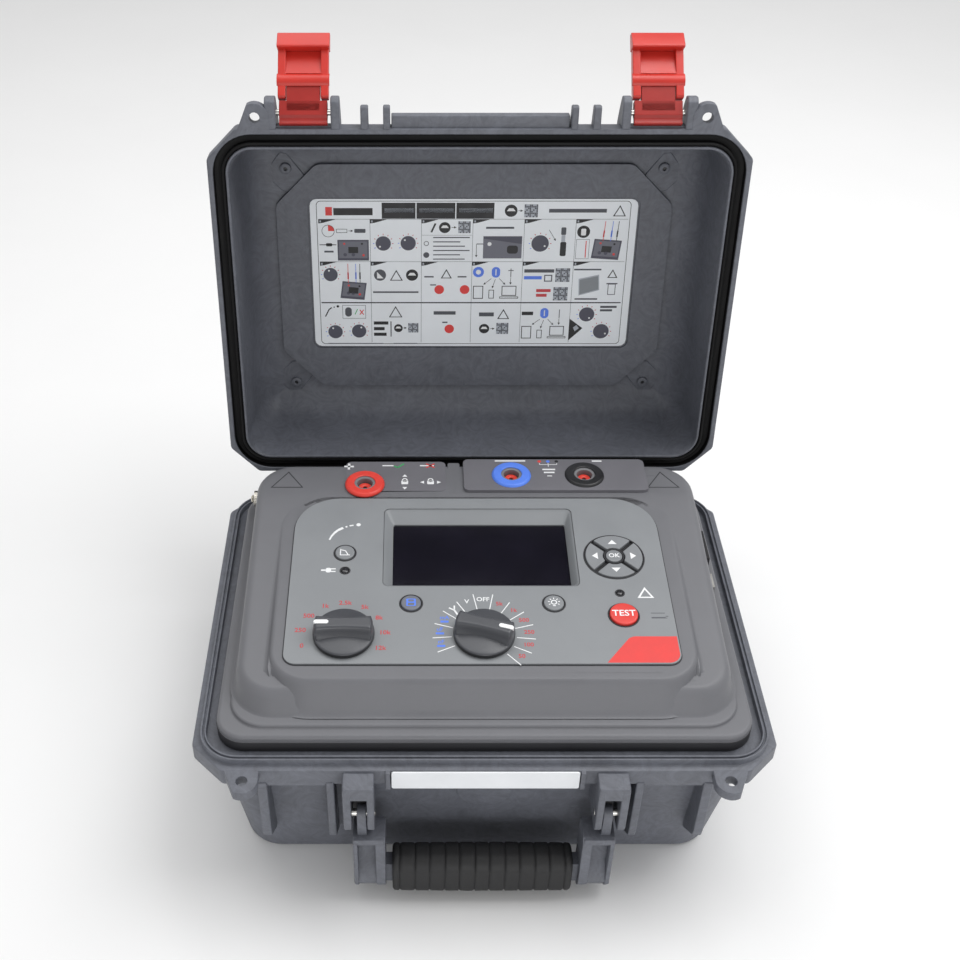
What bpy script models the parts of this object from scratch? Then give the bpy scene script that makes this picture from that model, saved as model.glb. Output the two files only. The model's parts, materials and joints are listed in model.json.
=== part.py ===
"""Insulation resistance tester built into a hinged carry case, shown with its lid standing open.

Frame: origin at the middle of the base's flat underside, +X right, +Y towards the hinge, +Z up.
Every length below is in millimetres; MM turns it into Blender's metres. The lid and its latches are
modelled where they sit when the case is shut, and the lid's empty swings them open.
"""
import math

import bmesh
import bpy
from mathutils import Matrix, Vector

MM = 0.001
GAP = 0.3                    # clearance between touching pieces

# Base shell
RIM_HALF = (180.0, 130.0)    # half width and half depth of the closing rim
RIM_CHAMFER = 20.0
RIM_TOP = 114.0
SKIRT = 13.0                 # height of the rim's flange, on the base and on the lid
TUB_TOP_HALF = (168.0, 118.0)
TUB_FOOT_HALF = (157.0, 104.0)
TUB_RADIUS = 25.0
WALL = 4.0
TONGUE = (4.5, 8.5, 4.7)     # outer inset, inner inset and height of the sealing tongue

# Lid shell
LID_TOP = 194.0
LID_WALL_HALF = (170.0, 120.0)
HINGE_Y = 141.0
HINGE_Z = 118.0
OPEN_ANGLE = 97.5
SEAL_INSET = (4.0, 11.5)
LIP_INSET = 13.8
LABEL_HALF = 118.6
LABEL_Y = (-60.3, 56.4)
LABEL_FACE = 178.5

# Instrument panel
TRAY_HALF = (165.0, 115.0)
TRAY_TOP = 127.0
STEP_TOP = 129.0
STEP_X = 157.0
STEP_Y = (-108.0, 113.0)
BODY_X = 156.0
BODY_Y = (-101.0, 111.0)
BODY_RADIUS = 28.0
DECK_TOP = 160.0
DECK_FRONT = 75.0
WING_SLOPE = 5.78
SKIN = 3.5                   # panel wall thickness
TILT = 3.5                   # slope of the control panel
CONTROL_Z = 156.2            # control panel's height at Y = 0
PEDESTAL_HALF = 134.0
PEDESTAL_Y = (-88.5, 76.0)
OVERLAY_X = (-124.5, 122.5)
OVERLAY_Y = (-77.5, 70.0)
OVERLAY_THICK = 1.0
WINDOW_X = (-57.5, 60.5)
WINDOW_Y = (-10.0, 50.0)
RECESS_X = (-63.5, 65.0)
RECESS_Y = (-12.5, 59.5)
RECESS_DEPTH = 6.0

# Controls, as (x, y) on the control panel
KNOBS = {"left": (-87.5, -54.5, 180.0), "right": (0.8, -54.5, -16.4)}
KNOB_RADIUS = 19.4
KNOB_TOP = 13.0              # height of the finger ridge above the control panel
ROUND_BUTTONS = {
    "test": (90.5, -38.0, 9.0, 2.0),
    "save": (-45.2, -28.0, 6.5, 1.2),
    "backlight": (46.7, -28.0, 6.5, 1.2),
    "ramp": (-89.4, 17.0, 6.5, 1.2),
}
LEDS = {"left": (-88.8, 1.0, 2.5), "right": (90.2, -19.0, 2.2)}
NAV_CENTRE = (90.0, 13.5)
NAV_RADIUS = 19.4
OK_RADIUS = 5.6
KEY_ANGLES = {"right": 0, "up": 90, "left": 180, "down": 270}
BUTTON_TRAVEL = 1.0

# Terminals on the deck
TERMINALS = {"red": (-78.0, 85.0), "blue": (26.0, 93.5), "black": (78.0, 93.5)}
COLLAR_RADIUS = 14.0
MOUTH_RADIUS = 5.2
SHUTTER_TOP = -1.4           # below the deck

# Carry handle
HANDLE_Y = -136.0
HANDLE_Z = 82.0
GRIP_HALF = 57.0
GRIP_SIZE = (22.0, 34.0)
GRIP_Z = 25.0

# Latches, in the shut case's coordinates
LATCH_X = 115.15
LATCH_PIN = (-139.0, 121.0)
LATCH_LEAN = 34.5            # how far the open latches lean back past the lid's own plane
LATCH_ROLL_Y = -159.0
LATCH_TIP_Y = -191.5
LINK_HALF = 11.0             # half width between the lever's legs
LINK_FOOT_HALF = 15.9
LINK_FOOT_Y = -146.0
LINK_APRON = 8.4             # reach of the link's foot below the pin
LEVER_HALF = 17.2
LEVER_LEG = 5.7
LEVER_END = -147.3

COLOURS = {
    "case": ((0.134, 0.137, 0.153), 0.62, 0.0),
    "panel": ((0.155, 0.162, 0.175), 0.55, 0.0),
    "overlay": ((0.25, 0.27, 0.29), 0.45, 0.0),
    "black": ((0.012, 0.012, 0.014), 0.5, 0.0),
    "dark": ((0.03, 0.03, 0.034), 0.6, 0.0),
    "rubber": ((0.015, 0.015, 0.015), 0.85, 0.0),
    "red": ((0.66, 0.045, 0.03), 0.4, 0.0),
    "deep_red": ((0.45, 0.03, 0.025), 0.45, 0.0),
    "blue": ((0.08, 0.22, 0.85), 0.4, 0.0),
    "white": ((0.8, 0.8, 0.8), 0.4, 0.0),
    "label": ((0.72, 0.78, 0.84), 0.35, 0.0),
    "glass": ((0.01, 0.01, 0.02), 0.08, 0.0),
    "steel": ((0.6, 0.6, 0.6), 0.3, 1.0),
    "board": ((0.03, 0.16, 0.06), 0.6, 0.0),
    "grey": ((0.4, 0.42, 0.43), 0.5, 0.0),
}


def clear_scene():
    for item in list(bpy.data.objects):
        bpy.data.objects.remove(item, do_unlink=True)


def new_collection(name):
    group = bpy.data.collections.new(name)
    bpy.context.scene.collection.children.link(group)
    return group


clear_scene()
PARTS = new_collection("insulation_resistance_tester")
CUTTERS = new_collection("cutters")


# ---------------------------------------------------------------- outlines
def arc(centre, radius, start, end, steps):
    """Points on an arc, angles in degrees."""
    points = []
    for i in range(steps + 1):
        angle = math.radians(start + (end - start) * i / steps)
        points.append((centre[0] + radius * math.cos(angle), centre[1] + radius * math.sin(angle)))
    return points


def rounded(x_range, y_range, radius, steps=4):
    """A rectangle with arcs for corners; radius may be (back, front), and one step is a chamfer."""
    back, front = radius if isinstance(radius, tuple) else (radius, radius)
    x0, x1 = x_range
    y0, y1 = y_range
    points = arc((x1 - back, y1 - back), back, 0, 90, steps)
    points += arc((x0 + back, y1 - back), back, 90, 180, steps)
    points += arc((x0 + front, y0 + front), front, 180, 270, steps)
    points += arc((x1 - front, y0 + front), front, 270, 360, steps)
    return points


def centred(half, radius, steps=4, inset=0.0):
    """A rounded rectangle about the origin, moved inwards by inset."""
    x, y = half[0] - inset, half[1] - inset
    return rounded((-x, x), (-y, y), max(radius - inset, 2.0), steps)


# ---------------------------------------------------------------- solids
def finish_mesh(name, work, group=None):
    mesh = bpy.data.meshes.new(name)
    bmesh.ops.recalc_face_normals(work, faces=work.faces)
    work.to_mesh(mesh)
    work.free()
    item = bpy.data.objects.new(name, mesh)
    (group or PARTS).objects.link(item)
    return item


def prism(name, outline, low, high):
    """A flat outline filled and given a thickness from low to high."""
    curve = bpy.data.curves.new(name, "CURVE")
    curve.dimensions = "2D"
    curve.fill_mode = "BOTH"
    curve.extrude = (high - low) / 2 * MM
    spline = curve.splines.new("POLY")
    spline.points.add(len(outline) - 1)
    for point, (x, y) in zip(spline.points, outline):
        point.co = (x * MM, y * MM, 0, 1)
    spline.use_cyclic_u = True
    drawn = bpy.data.objects.new(name, curve)
    drawn.location.z = (low + high) / 2 * MM
    PARTS.objects.link(drawn)
    bpy.context.view_layer.update()
    graph = bpy.context.evaluated_depsgraph_get()
    mesh = bpy.data.meshes.new_from_object(drawn.evaluated_get(graph))
    work = bmesh.new()
    work.from_mesh(mesh)
    bmesh.ops.remove_doubles(work, verts=work.verts, dist=1e-6)
    bmesh.ops.transform(work, matrix=drawn.matrix_world, verts=work.verts)
    bpy.data.objects.remove(drawn, do_unlink=True)
    bpy.data.meshes.remove(mesh)
    return finish_mesh(name, work)


def loft(name, sections):
    """A skin through outlines of equal length, each with its height, closed at both ends."""
    work = bmesh.new()
    rings = []
    for outline, height in sections:
        rings.append([work.verts.new((x * MM, y * MM, height * MM)) for x, y in outline])
    count = len(rings[0])
    for lower, upper in zip(rings, rings[1:]):
        for i in range(count):
            j = (i + 1) % count
            work.faces.new((lower[i], lower[j], upper[j], upper[i]))
    work.faces.new(list(reversed(rings[0])))
    work.faces.new(rings[-1])
    return finish_mesh(name, work)


def box(name, x_range, y_range, z_range):
    work = bmesh.new()
    bmesh.ops.create_cube(work, size=1.0)
    for vert in work.verts:
        spans = (x_range, y_range, z_range)
        vert.co = [((a + b) / 2 + (b - a) * c) * MM for (a, b), c in zip(spans, vert.co)]
    return finish_mesh(name, work)


def rod(name, radius, start, end, sides=16, end_radius=None):
    """A cylinder or cone between two points."""
    start, end = Vector(start), Vector(end)
    work = bmesh.new()
    bmesh.ops.create_cone(work, cap_ends=True, segments=sides, radius1=radius * MM,
                          radius2=(end_radius or radius) * MM, depth=(end - start).length * MM)
    turn = (end - start).to_track_quat("Z", "Y").to_matrix().to_4x4()
    move = Matrix.Translation((start + end) / 2 * MM)
    bmesh.ops.transform(work, matrix=move @ turn, verts=work.verts)
    return finish_mesh(name, work)


def turned(name, profile, centre, sides=24, closed=False):
    """A profile of (radius, height) run down its outer side and turned about a vertical axis."""
    mesh = bpy.data.meshes.new(name)
    verts = [(radius * MM, 0, height * MM) for radius, height in profile]
    edges = [(i, i + 1) for i in range(len(profile) - 1)]
    if closed:
        edges.append((len(profile) - 1, 0))
    mesh.from_pydata(verts, edges, [])
    item = bpy.data.objects.new(name, mesh)
    PARTS.objects.link(item)
    item.location = Vector(centre) * MM
    screw = item.modifiers.new("turn", "SCREW")
    screw.steps = sides
    screw.render_steps = sides
    screw.use_merge_vertices = True
    screw.merge_threshold = 0.00001
    return item


# ---------------------------------------------------------------- joining and placing
def put_away(tool):
    """Keeps a boolean's operand out of the model."""
    for group in list(tool.users_collection):
        group.objects.unlink(tool)
    CUTTERS.objects.link(tool)
    tool.hide_render = True
    tool.display_type = "WIRE"


def combine(item, tools, operation):
    for tool in tools:
        step = item.modifiers.new(tool.name, "BOOLEAN")
        step.operation = operation
        step.solver = "EXACT"
        step.object = tool
        put_away(tool)
    return item


def add(item, *tools):
    return combine(item, tools, "UNION")


def cut(item, *tools):
    return combine(item, tools, "DIFFERENCE")


def paint(item, colour, smooth=False):
    values, roughness, metallic = COLOURS[colour]
    surface = bpy.data.materials.new(item.name)
    surface.use_nodes = True
    shader = surface.node_tree.nodes["Principled BSDF"]
    shader.inputs["Base Color"].default_value = (*values, 1.0)
    shader.inputs["Roughness"].default_value = roughness
    shader.inputs["Metallic"].default_value = metallic
    item.data.materials.append(surface)
    if smooth:
        item.data.shade_smooth()
        item.data.set_sharp_from_angle(angle=math.radians(35))
    return item


def marker(name, location, turn=(0.0, 0.0, 0.0)):
    """An empty that carries pieces; location in millimetres, turn in degrees."""
    empty = bpy.data.objects.new(name, None)
    PARTS.objects.link(empty)
    empty.location = Vector(location) * MM
    empty.rotation_euler = [math.radians(angle) for angle in turn]
    bpy.context.view_layer.update()
    return empty


def carry(empty, item, local=True):
    """Parents a piece and its operands. A local piece is drawn in the empty's own coordinates."""
    pieces = [item] + [step.object for step in item.modifiers if step.type == "BOOLEAN"]
    for piece in pieces:
        if piece.parent is None:
            piece.parent = empty
            if not local:
                piece.matrix_parent_inverse = Matrix.Translation(-empty.location)
            for deeper in [step.object for step in piece.modifiers if step.type == "BOOLEAN"]:
                if deeper.parent is None:
                    carry(empty, deeper, local)
    return item


def both_sides(name, x_range, y_range, z_range):
    """A box on the right and its mirror image on the left."""
    right = box(name + "_right", x_range, y_range, z_range)
    left = box(name + "_left", (-x_range[1], -x_range[0]), y_range, z_range)
    return [right, left]


def control_point(x, y, height=0.0):
    """A point on the sloping control panel, in the base's coordinates."""
    slope = math.radians(TILT)
    return (x, y * math.cos(slope) - height * math.sin(slope),
            CONTROL_Z + y * math.sin(slope) + height * math.cos(slope))


# ---------------------------------------------------------------- base
def side_plate(name, x_range, profile):
    """A plate across X cut to an outline of (y, z)."""
    work = bmesh.new()
    ends = []
    for x in x_range:
        ends.append([work.verts.new((x * MM, y * MM, z * MM)) for y, z in profile])
    count = len(profile)
    for i in range(count):
        j = (i + 1) % count
        work.faces.new((ends[0][i], ends[0][j], ends[1][j], ends[1][i]))
    work.faces.new(ends[0])
    work.faces.new(list(reversed(ends[1])))
    return finish_mesh(name, work)


def mirrored_plates(name, x_range, profile):
    right = side_plate(name + "_right", x_range, profile)
    left = side_plate(name + "_left", (-x_range[1], -x_range[0]), profile)
    return [right, left]


def padlock_lug(name, side, z_range):
    """A tab at a front corner with a vertical hole for a padlock."""
    outline = rounded((136.8, 157.0), (-146.5, -118.0), (1.0, 9.0), 3)
    outline = [(side * x, y) for x, y in outline]
    return prism(name, outline, *z_range)


def padlock_hole(name, side, z_range):
    return rod(name, 3.5, (side * 146.7, -137.2, z_range[0]), (side * 146.7, -137.2, z_range[1]), 14)


def build_base_shell():
    shell = loft("base_shell", [
        (centred(TUB_FOOT_HALF, TUB_RADIUS, 4, 3.0), 0.0),
        (centred(TUB_FOOT_HALF, TUB_RADIUS, 4), 4.0),
        (centred(TUB_TOP_HALF, TUB_RADIUS, 4), RIM_TOP - SKIRT + 1),
    ])
    rim = prism("rim", centred(RIM_HALF, RIM_CHAMFER, 1), RIM_TOP - SKIRT, RIM_TOP)
    tongue_out = centred(RIM_HALF, 29.5, 4, TONGUE[0])
    tongue = prism("tongue", tongue_out, RIM_TOP - 1, RIM_TOP + TONGUE[2])
    add(shell, rim, tongue)
    for side, word in ((1, "right"), (-1, "left")):
        add(shell, padlock_lug("base_lug_" + word, side, (RIM_TOP - 7, RIM_TOP)))
    fin = ((-114.0, 102.0), (-130.6, 102.0), (-129.0, 60.0), (-106.0, 34.0), (-102.0, 102.0))
    for start, end in ((92.0, 97.0), (133.0, 139.0)):
        add(shell, *mirrored_plates("fin_%d" % start, (start, end), fin))
    catch = ((-112.0, 95.0), (-112.0, 102.0), (-132.5, 102.0), (-132.5, 97.5), (-128.0, 95.0))
    add(shell, *mirrored_plates("latch_catch", (97.0, 133.0), catch))
    clevis = ((-110.0, 112.0), (-143.0, 112.0), (-143.0, 73.0), (-139.0, 70.0), (-105.0, 70.0))
    for start, end in ((67.5, 72.0), (81.5, 86.5)):
        add(shell, *mirrored_plates("clevis_%d" % start, (start, end), clevis))
    add(shell, *both_sides("clevis_block", (67.5, 86.5), (-143.0, -110.0), (100.0, 112.0)))
    add(shell, box("plate_seat", (-60.0, 60.0), (-130.0, -112.0), (97.0, 112.0)))
    for start, end in ((95.0, 104.7), (125.3, 135.0)):
        arm = ((120.0, 103.0), (120.0, 113.0), (133.5, 113.0), (HINGE_Y, HINGE_Z), (146.5, 115.0),
               (140.0, 106.0))
        add(shell, *mirrored_plates("hinge_arm_%d" % start, (start, end), arm))
        for side in (1, -1):
            add(shell, rod("knuckle_%d_%d" % (side, start), 6.0, (side * start, HINGE_Y, HINGE_Z),
                           (side * end, HINGE_Y, HINGE_Z), 16))
    floor = centred(TUB_FOOT_HALF, TUB_RADIUS, 4, WALL + 2.5)
    inner_top = centred(TUB_TOP_HALF, TUB_RADIUS, 4, WALL)
    hollow = loft("hollow", [(floor, WALL), (inner_top, RIM_TOP - 10)])
    mouth = prism("mouth", centred(TUB_TOP_HALF, TUB_RADIUS, 4, 11.0), RIM_TOP - 12, RIM_TOP + 0.5)
    inside_tongue = prism("inside_tongue", centred(RIM_HALF, 29.5, 4, TONGUE[1]), RIM_TOP, RIM_TOP + 9)
    cut(shell, hollow, mouth, inside_tongue)
    cut(shell, prism("battery_opening", rounded((-108, 108), (-92, -12), 4.0, 2), -1.0, WALL + 1))
    for side, word in ((1, "right"), (-1, "left")):
        cut(shell, padlock_hole("base_lug_hole_" + word, side, (RIM_TOP - 9, RIM_TOP + 2)))
        start, end = side * 60.0, side * 90.0
        cut(shell, rod("handle_pin_hole_" + word, 2.5 + GAP, (start, HANDLE_Y, HANDLE_Z),
                       (end, HANDLE_Y, HANDLE_Z), 14))
        cut(shell, rod("hinge_hole_" + word, 2.0 + GAP, (side * 90, HINGE_Y, HINGE_Z),
                       (side * 140, HINGE_Y, HINGE_Z), 14))
    return paint(shell, "case")


def build_front_pieces():
    plate = prism("name_plate", rounded((-57, 57), (98.9, 114.0), 1.2, 2), 0, 1.2)
    plate.data.transform(Matrix.Translation((0, -130.3 * MM, 0)) @ Matrix.Rotation(math.radians(90), 4, "X"))
    paint(plate, "white")
    cover = prism("battery_cover", rounded((-108 + GAP, 108 - GAP), (-92 + GAP, -12 - GAP), 3.7, 2), 0.0, 3.0)
    paint(cover, "dark")


def build_handle():
    pivot = marker("handle_axis", (0, HANDLE_Y, HANDLE_Z))
    frame = box("handle_frame", (-66.0, 66.0), (HANDLE_Y - 5, HANDLE_Y + 5), (GRIP_Z - 9, GRIP_Z + 9))
    arm = [(HANDLE_Y - 5.5, 60.0)] + [(HANDLE_Y + y, HANDLE_Z + z) for y, z in arc((0, 0), 5.5, 180, 0, 6)]
    arm.append((HANDLE_Y + 5.5, 60.0))
    add(frame, *mirrored_plates("arm", (72.4, 78.5), arm))
    block = ((HANDLE_Y - 10, 62), (HANDLE_Y - 6, 66), (HANDLE_Y + 7, 66), (HANDLE_Y + 10, 62),
             (HANDLE_Y + 10, 15), (HANDLE_Y + 6, 11), (HANDLE_Y - 6, 11), (HANDLE_Y - 10, 15))
    add(frame, *mirrored_plates("block", (61.0, 81.4), block))
    window = both_sides("block_window", (66.0, 78.5), (HANDLE_Y - 14, HANDLE_Y - 5), (40.0, 60.0))
    cut(frame, *window)
    for side in (1, -1):
        cut(frame, rod("arm_hole_%d" % side, 2.5 + GAP, (side * 70, HANDLE_Y, HANDLE_Z),
                       (side * 80, HANDLE_Y, HANDLE_Z), 14))
    carry(pivot, paint(frame, "case"), local=False)
    deep, tall = GRIP_SIZE
    outline = rounded((-deep / 2, deep / 2), (-tall / 2, tall / 2), 9.0, 3)
    grip = prism("handle_grip", outline, -GRIP_HALF, GRIP_HALF)
    core = box("grip_core_hole", (-60, 60), (HANDLE_Y - 5 - GAP, HANDLE_Y + 5 + GAP),
               (GRIP_Z - 9 - GAP, GRIP_Z + 9 + GAP))
    lay = Matrix.Translation((0, HANDLE_Y * MM, GRIP_Z * MM)) @ Matrix(((0, 0, 1, 0), (1, 0, 0, 0),
                                                                        (0, 1, 0, 0), (0, 0, 0, 1)))
    grip.data.transform(lay)
    cut(grip, core)
    carry(pivot, paint(grip, "rubber"), local=False)
    for side, word in ((1, "right"), (-1, "left")):
        pin = rod("handle_pin_" + word, 2.5, (side * 67.2, HANDLE_Y, HANDLE_Z),
                  (side * 86.8, HANDLE_Y, HANDLE_Z), 14)
        paint(pin, "steel")
        hinge = rod("hinge_pin_" + word, 2.0, (side * 94.5, HINGE_Y, HINGE_Z),
                    (side * 135.5, HINGE_Y, HINGE_Z), 14)
        paint(hinge, "steel")


# ---------------------------------------------------------------- lid
def lid_frame():
    return marker("lid_axis", (0, HINGE_Y, HINGE_Z), (-OPEN_ANGLE, 0, 0))


def build_lid(hinge):
    base = RIM_TOP + GAP
    shell = loft("lid_shell", [
        (centred(LID_WALL_HALF, 27, 4), RIM_TOP + SKIRT - 1),
        (centred(LID_WALL_HALF, 27, 4, 2.5), 160.0),
        (centred(LID_WALL_HALF, 27, 4, 7.0), 184.0),
        (centred(LID_WALL_HALF, 27, 4, 12.0), 190.5),
        (centred(LID_WALL_HALF, 27, 4, 20.0), LID_TOP),
    ])
    add(shell, prism("lid_rim", centred(RIM_HALF, RIM_CHAMFER, 1), base, RIM_TOP + SKIRT))
    ear = ((-126.0, base), (-150.0, base + 2), (-150.0, 124.0), (-143.0, 127.0), (-128.0, 136.0),
           (-115.0, 136.0), (-115.0, base))
    for start, end in ((91.5, 97.5), (132.8, 140.0)):
        add(shell, *mirrored_plates("ear_%d" % start, (start, end), ear))
    tab = ((-126.0, base), (-145.0, base), (-145.0, 122.0), (-126.0, 127.0), (-118.0, 127.0), (-118.0, base))
    for start, end in ((58.8, 63.3), (73.0, 78.0)):
        add(shell, *mirrored_plates("tab_%d" % start, (start, end), tab))
    add(shell, box("strip", (-58.0, 58.0), (-138.0, -125.0), (118.0, 125.0)))
    for side, word in ((1, "right"), (-1, "left")):
        add(shell, padlock_lug("lid_lug_" + word, side, (base, RIM_TOP + 7)))
        arm = side_plate("lid_hinge_arm_" + word, sorted((side * 105.0, side * 125.0)),
                         ((124.0, 118.0), (124.0, 127.0), (136.0, 127.0), (HINGE_Y, HINGE_Z + 6),
                          (HINGE_Y, HINGE_Z)))
        add(shell, arm, rod("lid_knuckle_" + word, 6.0, (side * 105, HINGE_Y, HINGE_Z),
                            (side * 125, HINGE_Y, HINGE_Z), 16))
    lip = centred(RIM_HALF, 34, 4, LIP_INSET)
    cut(shell, loft("lid_hollow", [
        (lip, RIM_TOP - 1),
        (centred(RIM_HALF, 34, 4, 16.2), 160.0),
        (centred(RIM_HALF, 34, 4, 18.5), 178.0),
        (centred(RIM_HALF, 34, 4, 23.0), 186.0),
        (centred(RIM_HALF, 34, 4, 30.0), 189.5),
    ]))
    groove = prism("seal_groove", centred(RIM_HALF, 29, 4, SEAL_INSET[0] - GAP), RIM_TOP - 1, RIM_TOP + 8.4)
    cut(groove, prism("groove_core", centred(RIM_HALF, 33, 4, SEAL_INSET[1] + GAP), RIM_TOP - 2,
                      RIM_TOP + 9.4))
    cut(shell, groove)
    platform = prism("label_platform", rounded((-142, 142), (-84, 88), 26.0, 1), LABEL_FACE - 0.7, 191.0)
    pocket = prism("label_pocket", rounded((-LABEL_HALF - 1, LABEL_HALF + 1),
                                           (LABEL_Y[0] - 1, LABEL_Y[1] + 1), 6.0, 3),
                   LABEL_FACE - 2, LABEL_FACE + 0.8)
    add(shell, platform)
    for x in (-134.7, 134.7):
        for y in (-82.6, 87.5):
            add(shell, rod("boss_%d_%d" % (x, y), 4.0, (x, y, 181.5), (x, y, 191.0), 12))
    cut(shell, pocket)
    for side, word in ((1, "right"), (-1, "left")):
        cut(shell, padlock_hole("lid_lug_hole_" + word, side, (RIM_TOP - 2, RIM_TOP + 9)))
        cut(shell, rod("lid_hinge_hole_" + word, 2.0 + GAP, (side * 100, HINGE_Y, HINGE_Z),
                       (side * 130, HINGE_Y, HINGE_Z), 14))
        y, z = LATCH_PIN
        cut(shell, rod("latch_hole_" + word, 2.0 + GAP, (side * 90, y, z), (side * 142, y, z), 14))
    carry(hinge, paint(shell, "case"), local=False)
    seal = prism("lid_seal", centred(RIM_HALF, 29, 4, SEAL_INSET[0]), RIM_TOP + TONGUE[2] + 0.4,
                 RIM_TOP + 8.1)
    cut(seal, prism("seal_core", centred(RIM_HALF, 33, 4, SEAL_INSET[1]), RIM_TOP, RIM_TOP + 10))
    carry(hinge, paint(seal, "rubber"), local=False)
    label = prism("instruction_label", rounded((-LABEL_HALF, LABEL_HALF), LABEL_Y, 5.0, 3), LABEL_FACE,
                  LABEL_FACE + 0.5)
    carry(hinge, paint(label, "label"), local=False)


def latch_frame(hinge):
    """The latches' lean, about their pins in the lid's ears."""
    latch = marker("latch_axis", (0, *LATCH_PIN), (-LATCH_LEAN, 0, 0))
    latch.parent = hinge
    latch.matrix_parent_inverse = Matrix.Translation(-hinge.location)
    bpy.context.view_layer.update()
    return latch


def build_latch(hinge, latch, side, word):
    """The link swings on the lid's pin and the lever swings on the link's two journals."""
    y, z = LATCH_PIN
    pin = rod("latch_pin_" + word, 2.0, (side * 91.8, y, z), (side * 139.6, y, z), 12)
    carry(hinge, paint(pin, "steel"), local=False)
    inner, outer = sorted((side * (LATCH_X - LINK_HALF), side * (LATCH_X + LINK_HALF)))
    link = box("latch_link_" + word, (inner, outer), (LATCH_ROLL_Y, y), (z - 3, z + 3))
    foot = (side * LATCH_X - LINK_FOOT_HALF, side * LATCH_X + LINK_FOOT_HALF)
    add(link, box("link_foot_" + word, foot, (LINK_FOOT_Y, y), (z - 3, z + 3.5)))
    add(link, box("link_apron_" + word, foot, (y, y + LINK_APRON), (z - 1.5, z + 2.0)))
    add(link, rod("link_barrel_" + word, 4.5, (foot[0], y, z), (foot[1], y, z), 16))
    low, high = side * LATCH_X - LEVER_HALF, side * LATCH_X + LEVER_HALF
    add(link, rod("link_shoulder_" + word, 4.0, (inner, LATCH_ROLL_Y, z), (outer, LATCH_ROLL_Y, z), 16))
    add(link, rod("link_journal_" + word, 2.5, (low + 0.4, LATCH_ROLL_Y, z),
                  (high - 0.4, LATCH_ROLL_Y, z), 12))
    cut(link, rod("link_bore_" + word, 2.0 + GAP, (foot[0] - 1, y, z), (foot[1] + 1, y, z), 12))
    carry(latch, paint(link, "deep_red"), local=False)
    lever = box("latch_lever_" + word, (low, high), (LATCH_TIP_Y, LATCH_ROLL_Y - 4.4), (z - 3, z + 4))
    add(lever, box("lever_tip_" + word, (low, high), (LATCH_TIP_Y, LATCH_TIP_Y + 3), (z - 7, z + 4)))
    for start, end in ((low, low + LEVER_LEG), (high - LEVER_LEG, high)):
        leg = box("lever_leg_%s_%d" % (word, start), (start, end), (LATCH_ROLL_Y - 5, LEVER_END),
                  (z - 4, z + 4))
        add(lever, leg)
    cut(lever, box("lever_recess_" + word, (low + 5, high - 5), (LATCH_TIP_Y + 8, LATCH_ROLL_Y - 9),
                   (z + 1.5, z + 6)))
    cut(lever, rod("lever_bore_" + word, 2.5 + GAP, (low - 1, LATCH_ROLL_Y, z), (high + 1, LATCH_ROLL_Y, z),
                   12))
    carry(latch, paint(lever, "red"), local=False)


# ---------------------------------------------------------------- instrument panel
def wing_cutter(name, drop):
    """Removes what stands above the wings' slope, lowered by drop."""
    back = DECK_FRONT
    rise = (back + 130) * math.tan(math.radians(WING_SLOPE))
    top = DECK_TOP - drop
    profile = ((-130.0, top - rise), (back, top), (back + 45, top), (back + 45, top + 30), (-130.0, top + 30))
    return side_plate(name, (-175.0, 175.0), profile)


def control_frame():
    return marker("control_plane", (0, 0, CONTROL_Z), (TILT, 0, 0))


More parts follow.
